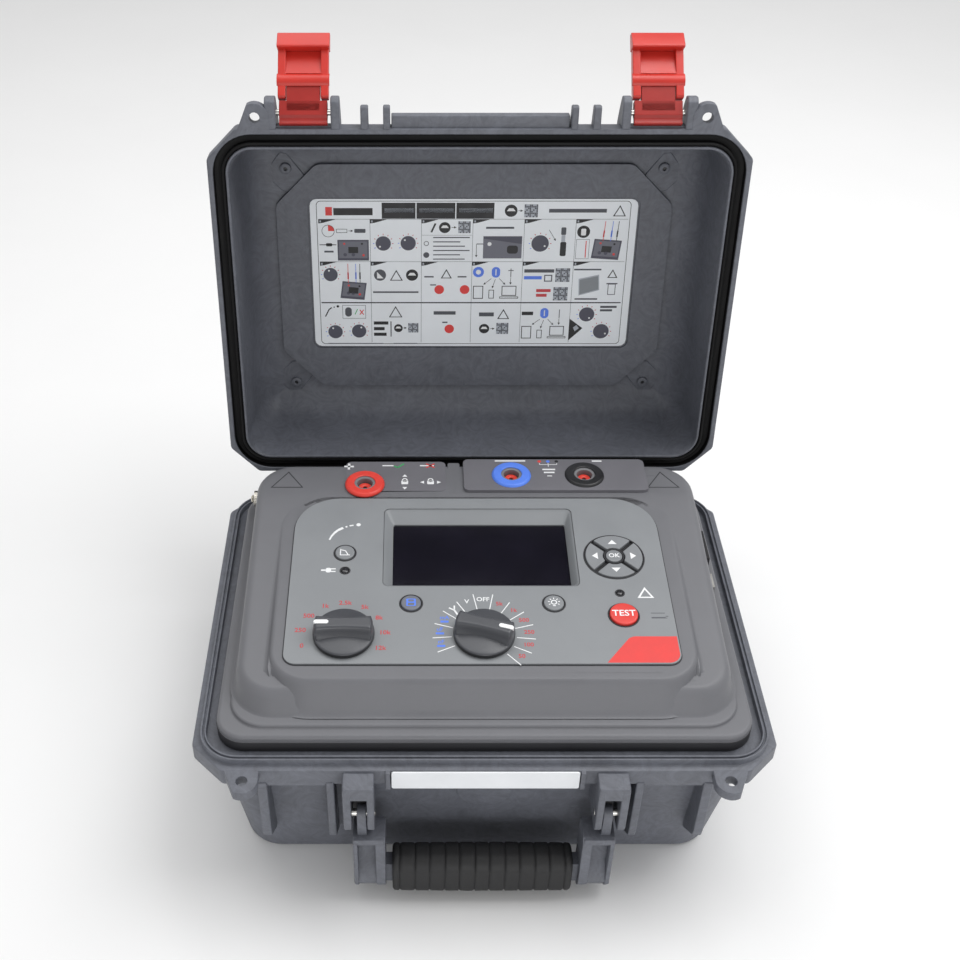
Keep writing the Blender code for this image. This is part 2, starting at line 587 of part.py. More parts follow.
def build_panel(plane):
    panel = prism("instrument_panel", centred(TRAY_HALF, 18, 4), RIM_TOP + GAP, TRAY_TOP)
    add(panel, prism("step", rounded((-STEP_X, STEP_X), STEP_Y, 22, 4), TRAY_TOP - 1, STEP_TOP))
    body = loft("body", [
        (rounded((-BODY_X, BODY_X), BODY_Y, BODY_RADIUS, 5), STEP_TOP - 1),
        (rounded((-BODY_X + 2, BODY_X - 2), (BODY_Y[0] + 4, BODY_Y[1] - 2), BODY_RADIUS, 5), DECK_TOP + 8),
    ])
    cut(body, wing_cutter("wing_slope", 0.0))
    pedestal = prism("pedestal", rounded((-PEDESTAL_HALF, PEDESTAL_HALF), PEDESTAL_Y, (4, 24), 4),
                     -25.0, -OVERLAY_THICK - GAP)
    carry(plane, pedestal)
    deck = prism("right_deck", rounded((-8.0, 122.0), (76.5, 108.0), 6.0, 2), DECK_TOP - 2, DECK_TOP + 1)
    add(panel, body, pedestal, deck)
    cut(panel, prism("tray_hollow", centred(TRAY_HALF, 18, 4, 4.0), RIM_TOP - 1, TRAY_TOP - SKIN))
    inner = loft("body_hollow", [
        (rounded((-BODY_X + 4, BODY_X - 4), (BODY_Y[0] + 4, BODY_Y[1] - 4), BODY_RADIUS - 4, 5),
         TRAY_TOP - SKIN - 1),
        (rounded((-BODY_X + 6, BODY_X - 6), (BODY_Y[0] + 8, BODY_Y[1] - 6), BODY_RADIUS - 4, 5),
         DECK_TOP + 4),
    ])
    cut(inner, wing_cutter("inner_slope", SKIN))
    room = prism("pedestal_hollow", rounded((-PEDESTAL_HALF + 4, PEDESTAL_HALF - 4),
                                            (PEDESTAL_Y[0] + 4, 72.0), (4, 20), 4),
                 -20.0, -OVERLAY_THICK - GAP - SKIN)
    carry(plane, room)
    cut(panel, inner, room)
    tub = box("display_tub", (RECESS_X[0] - 3.5, RECESS_X[1] + 3.5), (RECESS_Y[0] - 3.5, RECESS_Y[1] + 3.5),
              (-13.0, -2.0))
    carry(plane, tub)
    add(panel, tub)
    bevel = loft("recess", [
        (rounded(WINDOW_X, WINDOW_Y, 2.0, 1), -RECESS_DEPTH),
        (rounded(RECESS_X, RECESS_Y, 3.0, 1), 0.5),
    ])
    overlay_seat = prism("overlay_seat", rounded((OVERLAY_X[0] - GAP, OVERLAY_X[1] + GAP),
                                                 (OVERLAY_Y[0] - GAP, OVERLAY_Y[1] + GAP),
                                                 (30, 8), 5), -OVERLAY_THICK - GAP, 4.0)
    seat = box("window_opening", (WINDOW_X[0] + 1, WINDOW_X[1] - 1), (WINDOW_Y[0] + 1, WINDOW_Y[1] - 1),
               (-8.0, -5.0))
    pocket = box("window_pocket", (WINDOW_X[0] - 3, WINDOW_X[1] + 3), (WINDOW_Y[0] - 3, WINDOW_Y[1] + 3),
                 (-14.0, -7.0))
    for tool in (overlay_seat, bevel, seat, pocket):
        carry(plane, tool)
    cut(panel, overlay_seat, bevel, seat, pocket)
    for tool in control_holes("panel", 0.65):
        carry(plane, tool)
        cut(panel, tool)
    for word, (x, y) in TERMINALS.items():
        cut(panel, rod("terminal_hole_" + word, 11.0 + GAP, (x, y, DECK_TOP - 20), (x, y, DECK_TOP + 5), 20))
    cut(panel, box("inlet_opening", (140, 165), (20 - GAP, 48 + GAP), (130.7 - GAP, 149.7 + GAP)),
        box("usb_opening", (140, 165), (-4 - GAP, 9 + GAP), (134 - GAP, 146 + GAP)),
        rod("earth_hole", 3.0 + GAP, (-165, 94, 140), (-130, 94, 140), 14))
    return paint(panel, "panel")


def control_holes(name, clearance):
    """Openings for every control, drawn square to the control panel."""
    low, high = -14.0, 2.0
    tools = []
    for word, (x, y, _) in KNOBS.items():
        tools.append(rod("%s_shaft_%s" % (name, word), 4.0, (x, y, low), (x, y, high), 14))
    for word, (x, y, radius, _) in ROUND_BUTTONS.items():
        tools.append(rod("%s_button_%s" % (name, word), radius + clearance, (x, y, low), (x, y, high), 20))
    for word, (x, y, radius) in LEDS.items():
        tools.append(rod("%s_led_%s" % (name, word), radius + GAP, (x, y, low), (x, y, high), 12))
    x, y = NAV_CENTRE
    tools.append(rod(name + "_nav", NAV_RADIUS + 0.5, (x, y, low), (x, y, high), 28))
    return tools


def build_overlay(plane):
    plate = prism("panel_overlay", rounded(OVERLAY_X, OVERLAY_Y, (30, 8), 5), -OVERLAY_THICK, 0.0)
    opening = prism("overlay_window", rounded((RECESS_X[0] - 0.3, RECESS_X[1] + 0.3),
                                              (RECESS_Y[0] - 0.3, RECESS_Y[1] + 0.3), 3.0, 1), -3, 2)
    cut(plate, opening, *control_holes("overlay", 0.5))
    carry(plane, paint(plate, "overlay"))
    window = box("display_window", (WINDOW_X[0] - 2.6, WINDOW_X[1] + 2.6),
                 (WINDOW_Y[0] - 2.6, WINDOW_Y[1] + 2.6), (-8.8, -7.3))
    carry(plane, paint(window, "glass"))
    screen = box("lcd_module", (WINDOW_X[0] - 2.6, WINDOW_X[1] + 2.6),
                 (WINDOW_Y[0] - 2.6, WINDOW_Y[1] + 2.6), (-14.5, -9.2))
    carry(plane, paint(screen, "dark"))


def build_knob(word, x, y, angle):
    axis = marker("knob_axis_" + word, control_point(x, y), (0, 0, 0))
    axis.rotation_euler = (Matrix.Rotation(math.radians(TILT), 3, "X") @
                           Matrix.Rotation(math.radians(angle), 3, "Z")).to_euler()
    bpy.context.view_layer.update()
    disc = ((0, 6.0), (9.0, 5.6), (KNOB_RADIUS - 0.9, 3.8), (KNOB_RADIUS, 3.0), (KNOB_RADIUS, 0.8), (0, 0.8))
    knob = turned("knob_" + word, disc, (0, 0, 0), 32)
    ridge = prism("knob_ridge_" + word, rounded((-18.6, 18.6), (-5.6, 5.6), 5.5, 3), 2.0, KNOB_TOP)
    add(knob, ridge)
    cut(knob, box("pointer_slot_" + word, (9.0 - GAP, 21.0), (-1.6 - GAP, 1.6 + GAP),
                  (KNOB_TOP - 1.8, KNOB_TOP + 2)),
        rod("knob_bore_" + word, 3.0 + GAP, (0, 0, -1), (0, 0, 8.0), 12))
    carry(axis, paint(knob, "black"))
    pointer = box("knob_pointer_" + word, (9.0, 18.2), (-1.6, 1.6), (KNOB_TOP - 1.5, KNOB_TOP + 0.2))
    carry(axis, paint(pointer, "white"))
    shaft = rod("switch_shaft_" + word, 3.0, (0, 0, -22.0), (0, 0, 7.6), 12)
    carry(axis, paint(shaft, "steel"))
    body = turned("switch_body_" + word, ((3.0 + GAP, -6.0), (11.0, -6.0), (11.0, -20.0), (3.0 + GAP, -20.0)),
                  (0, 0, 0), 16, closed=True)
    fixed = marker("switch_seat_" + word, control_point(x, y), (TILT, 0, 0))
    carry(fixed, paint(body, "dark"))


def build_round_button(word, x, y, radius, height):
    axis = marker("button_axis_" + word, control_point(x, y), (TILT, 0, 0))
    profile = ((0, height), (radius - 0.8, height), (radius, height - 0.5), (radius, -5.2),
               (radius + 1.2, -5.2), (radius + 1.2, -6.2), (0, -6.2))
    button = turned("button_" + word, profile, (0, 0, 0), 20)
    colour = {"test": "red", "save": "blue"}.get(word, "grey")
    carry(axis, paint(button, colour))


def build_nav_keys():
    axis = marker("nav_axis", control_point(*NAV_CENTRE), (TILT, 0, 0))
    ok_key = turned("key_ok", ((0, 1.4), (OK_RADIUS - 0.8, 1.4), (OK_RADIUS, 0.9), (OK_RADIUS, -6.2),
                               (0, -6.2)), (0, 0, 0), 16)
    carry(axis, paint(ok_key, "dark"))
    for word, angle in KEY_ANGLES.items():
        outer = arc((0, 0), NAV_RADIUS, angle - 42.0, angle + 42.0, 6)
        inner = arc((0, 0), OK_RADIUS + 1.6, angle + 36.0, angle - 36.0, 4)
        key = prism("key_" + word, outer + inner, -6.2, 1.2)
        carry(axis, paint(key, "grey"))


def build_leds(plane):
    for word, (x, y, radius) in LEDS.items():
        lens = turned("led_lens_" + word, ((0, 0.7), (radius * 0.7, 0.5), (radius, -0.3), (radius, -7.0),
                                           (0, -7.0)), (x, y, 0), 12)
        carry(plane, paint(lens, "dark"))


# ---------------------------------------------------------------- terminals
def build_terminal(word, x, y):
    top = DECK_TOP + (1.0 if x > 0 else 0.0)
    collar = turned("terminal_collar_" + word, (
        (9.0, 3.2), (12.8, 3.2), (COLLAR_RADIUS, 2.0), (COLLAR_RADIUS, GAP), (11.0, GAP), (11.0,
                -12.0), (9.0, -12.0)),
        (x, y, top), 24, closed=True)
    paint(collar, word)
    socket = turned("terminal_socket_" + word, (
        (MOUTH_RADIUS, 2.2), (8.7, 2.2), (8.7, -24.0), (0, -24.0), (0, -20.0), (MOUTH_RADIUS, -20.0)),
        (x, y, top), 20, closed=True)
    paint(socket, "grey")
    axis = marker("shutter_axis_" + word, (x, y, top))
    shutter = turned("terminal_shutter_" + word, ((1.6, SHUTTER_TOP), (4.8, SHUTTER_TOP),
                                                        (4.8, SHUTTER_TOP - 4.0), (1.6, SHUTTER_TOP - 4.0)),
                     (0, 0, 0), 16, closed=True)
    carry(axis, paint(shutter, "red"))


# ---------------------------------------------------------------- inside and side fittings
def build_inside(plane):
    paint(box("main_board", (-118, 118), (-82, 66), (121.0, 122.6)), "board")
    mat = prism("keypad_mat", rounded((-103, 113), (-48, 36), 3.0, 1), -9.0, -7.6)
    cut(mat, box("mat_gap", (-70, 71), (-19, 60), (-12, -5)))
    for word, (x, y, _) in KNOBS.items():
        cut(mat, rod("mat_clear_" + word, 11.6, (x, y, -12), (x, y, -5), 16))
    for word, (x, y, radius) in LEDS.items():
        cut(mat, rod("mat_led_" + word, radius + 0.6, (x, y, -12), (x, y, -5), 12))
    carry(plane, paint(mat, "rubber"))
    paint(box("hv_module", (-122, -12), (6, 92), (58, 112)), "dark")
    paint(box("charger_board", (4, 128), (6, 92), (84, 112)), "board")
    for start, word in ((-104, "left"), (4, "right")):
        paint(prism("battery_pack_" + word, rounded((start, start + 100), (-88, -16), 6.0, 2), 5.0, 50.0),
              "grey")


def build_side_fittings():
    inlet = box("mains_inlet", (135, 156.2), (20, 48), (130.7, 149.7))
    cut(inlet, prism_x("inlet_recess", rounded((22, 46), (132.2, 148.2), 3.5, 1), 140, 158))
    for y in (28.0, 34.0, 40.0):
        add(inlet, box("inlet_blade_%d" % y, (137, 150), (y - 1, y + 1), (138.2, 142.2)))
    paint(inlet, "black")
    usb = box("usb_socket", (143, 156.0), (-4, 9), (134, 146))
    cut(usb, box("usb_mouth", (146, 158), (-1.8, 6.8), (136, 144)))
    add(usb, box("usb_tongue", (145, 154), (0, 5), (138.4, 141.6)))
    paint(usb, "steel")
    stud = rod("earth_stud", 3.0, (-159.4, 94, 140), (-144, 94, 140), 14)
    paint(stud, "steel")
    nut = prism_x("earth_nut", [(94 + y, 140 + z) for y, z in arc((0, 0), 6.0, 0, 342, 19)], -158.5, -155.6)
    cut(nut, rod("nut_bore", 3.0 + GAP, (-162, 94, 140), (-150, 94, 140), 14))
    axis = marker("earth_axis", (-157, 94, 140))
    carry(axis, paint(nut, "steel"), local=False)


def prism_x(name, outline, low, high):
    """A prism along X with its outline given as (y, z)."""
    item = prism(name, outline, low, high)
    item.data.transform(Matrix(((0, 0, 1, 0), (1, 0, 0, 0), (0, 1, 0, 0), (0, 0, 0, 1))))
    return item


def main():
    build_base_shell()
    build_front_pieces()
    build_handle()
    hinge = lid_frame()
    build_lid(hinge)
    latch = latch_frame(hinge)
    for side, word in ((1, "right"), (-1, "left")):
        build_latch(hinge, latch, side, word)
    plane = control_frame()
    build_panel(plane)
    build_overlay(plane)
    for word, (x, y, angle) in KNOBS.items():
        build_knob(word, x, y, angle)
    for word, (x, y, radius, height) in ROUND_BUTTONS.items():
        build_round_button(word, x, y, radius, height)
    build_nav_keys()
    build_leds(plane)
    for word, (x, y) in TERMINALS.items():
        build_terminal(word, x, y)
    build_inside(plane)
    build_side_fittings()


main()
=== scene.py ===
"""Looks of the insulation resistance tester: fine shells, controls, print and materials around the
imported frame. Lengths are millimetres and MM makes them metres. The lid's pieces are drawn where they
sit with the case shut and then swung open with the lid's own angle.
"""
import json
import math

import bmesh
import bpy
from mathutils import Matrix, Vector


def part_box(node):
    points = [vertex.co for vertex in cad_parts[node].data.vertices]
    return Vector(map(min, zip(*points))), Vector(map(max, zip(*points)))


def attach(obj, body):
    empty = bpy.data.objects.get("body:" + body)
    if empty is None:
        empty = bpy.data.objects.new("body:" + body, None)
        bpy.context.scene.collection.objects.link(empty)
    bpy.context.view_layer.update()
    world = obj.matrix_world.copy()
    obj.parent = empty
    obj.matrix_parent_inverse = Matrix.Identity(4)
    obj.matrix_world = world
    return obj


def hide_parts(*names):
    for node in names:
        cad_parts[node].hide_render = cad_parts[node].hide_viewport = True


MM = 0.001
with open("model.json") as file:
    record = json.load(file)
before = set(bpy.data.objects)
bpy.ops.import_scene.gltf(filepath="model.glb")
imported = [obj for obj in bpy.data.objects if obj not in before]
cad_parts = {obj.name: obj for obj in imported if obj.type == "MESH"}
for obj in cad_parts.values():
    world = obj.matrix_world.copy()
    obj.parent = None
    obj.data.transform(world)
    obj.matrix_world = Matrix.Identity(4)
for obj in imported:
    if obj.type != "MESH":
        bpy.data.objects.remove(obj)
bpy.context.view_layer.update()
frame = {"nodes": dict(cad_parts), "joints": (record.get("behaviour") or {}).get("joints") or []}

# ---------------------------------------------------------------- sizes: joints and boxes from the frame
JOINTS = {joint["name"]: joint for joint in frame["joints"]}


def low_high(node):
    """The two corners of a CAD part's box, in millimetres."""
    low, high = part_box(node)
    return low / MM, high / MM


RIM = (low_high("base_shell")[1].x, 130.0)
RIM_TOP = low_high("name_plate")[1].z
SKIRT = 13.0                 # height of the rim round the base, and of the one round the lid
LID_LOW = RIM_TOP + 0.3      # the shut lid's lowest face
HINGE = Vector(JOINTS["lid_hinge"]["pos_m"]) / MM
OPEN_ANGLE = JOINTS["lid_hinge"]["range_deg"][1]
SWING = (Matrix.Translation(HINGE * MM) @ Matrix.Rotation(math.radians(-OPEN_ANGLE), 4, "X") @
         Matrix.Translation(-HINGE * MM))


def shut_place(joint):
    """Where a joint of the lid sits with the case shut."""
    return SWING.inverted() @ Vector(JOINTS[joint]["pos_m"]) / MM


LATCH_PIN = shut_place("latch_link_pivot_right")
LATCH_ROLL = shut_place("latch_lever_pivot_right")
LATCH_REACH = (LATCH_ROLL - LATCH_PIN).length
LATCH_LEAN = math.atan2(LATCH_ROLL.z - LATCH_PIN.z, LATCH_PIN.y - LATCH_ROLL.y)
LATCH_SWING = (SWING @ Matrix.Translation(LATCH_PIN * MM) @ Matrix.Rotation(-LATCH_LEAN, 4, "X") @
               Matrix.Translation(-LATCH_PIN * MM))

NORMAL = Vector(JOINTS["knob_turn_left"]["axis"])
TILT = math.degrees(math.asin(-NORMAL.y))
KNOB_LEFT = Vector(JOINTS["knob_turn_left"]["pos_m"]) / MM
CONTROL_Z = KNOB_LEFT.z - KNOB_LEFT.y * math.tan(math.radians(TILT))
PLANE = Matrix.Translation((0, 0, CONTROL_Z * MM)) @ Matrix.Rotation(math.radians(TILT), 4, "X")
PLANE_BACK = PLANE.inverted()

# the mouldings' own sizes, which the CAD parts share
TUB_TOP = (168.0, 118.0)     # half the lower case in X and Y, under its rim
TUB_FOOT = (157.0, 104.0)    # and at its floor
TUB_CORNER = 25
DECK_TOP = 160.0
DECK_FRONT = 75.0            # where the flat deck ends and the wings start to fall
BLOCK_RISE = 2.4             # of the right-hand terminal block above the deck
TERMINAL_HOLE = 11.4         # radius
WING_RISE = math.tan(math.radians(5.78))
LID_FLOOR = 181.2            # the lid's inner face, up to which the moulding is drawn
LID_SKIN = 190.0             # inside the lid's roof
LABEL_HALF = 118.6
LABEL_Y = (-60.3, 56.4)
LABEL_FACE = 178.5           # height with the lid shut
# on the control plane
WINDOW_X, WINDOW_Y = (-57.5, 60.5), (-10.0, 50.0)
RECESS_X, RECESS_Y = (-63.5, 65.0), (-12.5, 59.5)
RECESS_DEPTH = 6.0
OVERLAY_X, OVERLAY_Y = (-124.5, 122.5), (-77.5, 70.0)


def on_plane(joint):
    """Where a control sits, in the control panel's own coordinates."""
    point = PLANE_BACK @ Vector(JOINTS[joint]["pos_m"]) / MM
    return point.x, point.y


def wing_z(y):
    """Height of the panel's wings and deck at a given depth."""
    return DECK_TOP - max(DECK_FRONT - y, 0.0) * WING_RISE


def control_z(y):
    """Height of the control panel's plane at a given depth."""
    return CONTROL_Z + y * math.tan(math.radians(TILT))


# ---------------------------------------------------------------- outlines
CORNER_STEPS = 5


def arc(centre, radius, start, end, steps):
    """Points along an arc, by degrees."""
    points = []
    for i in range(steps + 1):
        angle = math.radians(start + (end - start) * i / steps)
        points.append((centre[0] + radius * math.cos(angle), centre[1] + radius * math.sin(angle)))
    return points


def round_corner(x, y, radius):
    """A quarter circle that ends in the corner (x, y)."""
    return arc((x - radius, y - radius), radius, 0, 90, 2 * CORNER_STEPS + 1)


def cut_corner(x, y, size, soft=5.0):
    """A diagonal corner whose two ends are rounded."""
    tangent = soft * math.tan(math.radians(22.5))
    first = arc((x - soft, y - size - tangent), soft, 0, 45, CORNER_STEPS)
    return first + arc((x - size - tangent, y - soft), soft, 45, 90, CORNER_STEPS)


def between(points, cuts):
    """Closes a loop of points, adding cuts along every straight stretch between corners."""
    if not cuts:
        return points
    count = len(points) // 4
    full = []
    for k in range(4):
        side = points[k * count:(k + 1) * count]
        full += side
        start, end = side[-1], points[((k + 1) * count) % len(points)]
        for i in range(1, cuts + 1):
            t = i / (cuts + 1)
            full.append((start[0] + (end[0] - start[0]) * t, start[1] + (end[1] - start[1]) * t))
    return full


def loop(x_range, y_range, back, front=None, shape=round_corner, cuts=0):
    """A closed outline, counter-clockwise from the right side's back end."""
    front = back if front is None else front
    x0, x1 = x_range
    y0, y1 = y_range
    mid_x, mid_y = (x0 + x1) / 2, (y0 + y1) / 2
    half_x, half_y = (x1 - x0) / 2, (y1 - y0) / 2
    behind = shape(half_x, half_y, back)
    ahead = shape(half_x, half_y, front)
    points = behind + [(-x, y) for x, y in reversed(behind)]
    points += [(-x, -y) for x, y in ahead] + [(x, -y) for x, y in reversed(ahead)]
    return between([(mid_x + x, mid_y + y) for x, y in points], cuts)


def rectangle(x0, y0, x1, y1):
    return [(x0, y0), (x1, y0), (x1, y1), (x0, y1)]


def grown(x_range, y_range, amount, back, front=None):
    """A loop that stands off a rectangle by an amount."""
    return loop((x_range[0] - amount, x_range[1] + amount), (y_range[0] - amount, y_range[1] + amount), back,
                front)


def centred(half, radius, inset=0.0, shape=round_corner, cuts=0):
    """A loop about the middle, drawn in by an inset."""
    x, y = half[0] - inset, half[1] - inset
    size = max(radius - inset * (0.586 if shape is cut_corner else 1.0), 1.0)
    return loop((-x, x), (-y, y), size, shape=shape, cuts=cuts)


def at(points, z):
    """Lifts flat points to a height."""
    return [(x, y, z) for x, y in points]


# ---------------------------------------------------------------- meshes
def new_object(name, mesh):
    item = bpy.data.objects.new(name, mesh)
    bpy.context.scene.collection.objects.link(item)
    return item


def finished(name, work):
    """A new object from the bmesh, which is used up."""
    mesh = bpy.data.meshes.new(name)
    work.to_mesh(mesh)
    work.free()
    return new_object(name, mesh)


def skin(name, rings, closed_low=True, closed_high=True):
    """A surface through rings of (x, y, z), all of one length."""
    work = bmesh.new()
    rows = [[work.verts.new(Vector(point) * MM) for point in ring] for ring in rings]
    count = len(rows[0])
    for lower, upper in zip(rows, rows[1:]):
        for i in range(count):
            j = (i + 1) % count
            work.faces.new((lower[i], lower[j], upper[j], upper[i]))
    if closed_low:
        work.faces.new(list(reversed(rows[0])))
    if closed_high:
        work.faces.new(rows[-1])
    return finished(name, work)


def plain_prism(name, outline, low, high):
    """A flat outline without holes, with a thickness."""
    work = bmesh.new()
    floor, roof = [[work.verts.new(Vector((x, y, z)) * MM) for x, y in outline] for z in (low, high)]
    work.faces.new(list(reversed(floor)))
    work.faces.new(roof)
    for i, here in enumerate(floor):
        j = (i + 1) % len(floor)
        work.faces.new((here, floor[j], roof[j], roof[i]))
    bmesh.ops.recalc_face_normals(work, faces=work.faces)
    return finished(name, work)


def prism(name, outlines, low, high, edge=0.0, steps=2):
    """Flat outlines, the later ones holes in the first, with a thickness and rounded edges."""
    if len(outlines) == 1:
        item = plain_prism(name, outlines[0], low, high)
        return soften(item, edge, steps) if edge else item
    curve = bpy.data.curves.new(name, "CURVE")
    curve.dimensions = "2D"
    curve.fill_mode = "BOTH"
    curve.extrude = (high - low) / 2 * MM
    for outline in outlines:
        spline = curve.splines.new("POLY")
        spline.points.add(len(outline) - 1)
        for point, (x, y) in zip(spline.points, outline):
            point.co = (x * MM, y * MM, 0, 1)
        spline.use_cyclic_u = True
    drawn = new_object(name, curve)
    drawn.location.z = (low + high) / 2 * MM
    mesh = evaluated(drawn)
    work = bmesh.new()
    work.from_mesh(mesh)
    bmesh.ops.remove_doubles(work, verts=work.verts, dist=1e-7)
    bmesh.ops.dissolve_limit(work, angle_limit=0.01, verts=work.verts, edges=work.edges)
    bmesh.ops.transform(work, matrix=drawn.matrix_world, verts=work.verts)
    bmesh.ops.recalc_face_normals(work, faces=work.faces)
    work.to_mesh(mesh)
    work.free()
    bpy.data.objects.remove(drawn, do_unlink=True)
    item = new_object(name, mesh)
    return soften(item, edge, steps) if edge else item


def soften(item, width, steps=2, angle=40.0):
    """Rounds every edge sharper than angle."""
    bevel = item.modifiers.new("rounded edges", "BEVEL")
    bevel.width = width * MM
    bevel.segments = steps
    bevel.limit_method = "ANGLE"
    bevel.angle_limit = math.radians(angle)
    return item


def block(name, x_range, y_range, z_range, edge=0.5, steps=2):
    """A box with rounded edges."""
    work = bmesh.new()
    bmesh.ops.create_cube(work, size=1.0)
    for vert in work.verts:
        spans = (x_range, y_range, z_range)
        vert.co = [((a + b) / 2 + (b - a) * c) * MM for (a, b), c in zip(spans, vert.co)]
    return soften(finished(name, work), edge, steps)


def slab(name, x_range, profile, edge=0.8, steps=3):
    """A plate across X cut to an outline of (y, z)."""
    item = prism(name, [profile], x_range[0], x_range[1], edge, steps)
    item.data.transform(Matrix(((0, 0, 1, 0), (1, 0, 0, 0), (0, 1, 0, 0), (0, 0, 0, 1))))
    return item


def lathe(name, profile, sides=48, centre=(0, 0, 0)):
    """A profile of (radius, height) turned about a vertical axis, top to bottom down its outer side."""
    work = bmesh.new()
    rows = []
    for radius, height in profile:
        if radius < 1e-6:
            rows.append([work.verts.new(Vector((0, 0, height)) * MM)])
        else:
            ring = arc((0, 0), radius, 0, 360 - 360 / sides, sides - 1)
            rows.append([work.verts.new(Vector((x, y, height)) * MM) for x, y in ring])
    for upper, lower in zip(rows, rows[1:]):
        for i in range(sides):
            j = (i + 1) % sides
            corners = [upper[i % len(upper)], lower[i % len(lower)], lower[j % len(lower)],
                       upper[j % len(upper)]]
            unique = list(dict.fromkeys(corners))
            if len(unique) > 2:
                work.faces.new(unique)
    bmesh.ops.recalc_face_normals(work, faces=work.faces)
    bmesh.ops.translate(work, vec=Vector(centre) * MM, verts=work.verts)
    return finished(name, work)


def rod(name, radius, start, end, sides=32, edge=0.3):
    """A round bar with chamfered ends."""
    start, end = Vector(start), Vector(end)
    length = (end - start).length
    profile = [(0, length), (radius - edge, length), (radius, length - edge), (radius, edge),
               (radius - edge, 0), (0, 0)]
    item = lathe(name, profile, sides)
    turn = (end - start).to_track_quat("Z", "Y").to_matrix().to_4x4()
    item.data.transform(Matrix.Translation(start * MM) @ turn)
    return item


def rounded_profile(points, radius, steps=3):
    """Rounds the inner corners of an open profile."""
    full = [points[0]]
    for before, here, after in zip(points, points[1:], points[2:]):
        a, b, c = Vector(before), Vector(here), Vector(after)
        size = min(radius, (a - b).length * 0.45, (c - b).length * 0.45)
        start, end = b + (a - b).normalized() * size, b + (c - b).normalized() * size
        for i in range(steps + 1):
            t = i / steps
            full.append(tuple(start * (1 - t) ** 2 + b * 2 * t * (1 - t) + end * t ** 2))
    full.append(points[-1])
    return full


def evaluated(item):
    """A mesh of the piece with its modifiers applied."""
    bpy.context.view_layer.update()
    graph = bpy.context.evaluated_depsgraph_get()
    return bpy.data.meshes.new_from_object(item.evaluated_get(graph))


def cut(item, *tools):
    """Takes the tools' shapes out of a piece."""
    for tool in tools:
        step = item.modifiers.new("cut", "BOOLEAN")
        step.operation = "DIFFERENCE"
        step.solver = "EXACT"
        step.object = tool
        step.use_hole_tolerant = True
        step.use_self = True
    mesh = evaluated(item)
    item.modifiers.clear()
    item.data = mesh
    for tool in tools:
        bpy.data.objects.remove(tool, do_unlink=True)
    return item


def assemble(name, parts, body, nodes, matrix=None, angle=38.0):
    """Joins parts, each an object or (object, material), into one piece that stands for nodes."""
    work = bmesh.new()
    materials = []
    for part in parts:
        item, material = part if isinstance(part, tuple) else (part, None)
        mesh = evaluated(item)
        mesh.transform(item.matrix_world)
        if material not in materials:
            materials.append(material)
        start = len(work.faces)
        work.from_mesh(mesh)
        work.faces.ensure_lookup_table()
        for face in work.faces[start:]:
            face.material_index = materials.index(material)
            face.smooth = True
        bpy.data.objects.remove(item, do_unlink=True)
    joined = bpy.data.meshes.new(name)
    work.to_mesh(joined)
    work.free()
    if matrix is not None:
        joined.transform(matrix)
    joined.set_sharp_from_angle(angle=math.radians(angle))
    piece = new_object(name, joined)
    weigh = piece.modifiers.new("even shading", "WEIGHTED_NORMAL")
    weigh.keep_sharp = True
    for material in materials:
        piece.data.materials.append(material)
    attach(piece, body)
    if nodes:
        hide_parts(*nodes)
    return piece


def span(side, low, high):
    """A range of X on one side."""
    return tuple(sorted((side * low, side * high)))


# ---------------------------------------------------------------- materials
def fill(tree, node, **values):
    """Sets a node's inputs by name, each to a value or from another node's output."""
    for name, value in values.items():
        socket = node.inputs[name.replace("_", " ")]
        if isinstance(value, bpy.types.NodeSocket):
            tree.links.new(value, socket)
        else:
            socket.default_value = value


def noise(tree, place, **values):
    node = tree.nodes.new("ShaderNodeTexNoise")
    fill(tree, node, Vector=place, **values)
    return node.outputs["Fac"]


def ramp(tree, value, dark, light):
    """Two shades, each a (position, colour), picked by a value."""
    node = tree.nodes.new("ShaderNodeValToRGB")
    for element, (position, colour) in zip(node.color_ramp.elements, (dark, light)):
        element.position = position
        element.color = (*colour, 1)
    tree.links.new(value, node.inputs["Fac"])
    return node.outputs["Color"]


def relief(tree, value, strength, distance):
    node = tree.nodes.new("ShaderNodeBump")
    fill(tree, node, Height=value, Strength=strength, Distance=distance)
    tree.links.new(node.outputs["Normal"], tree.nodes["Principled BSDF"].inputs["Normal"])


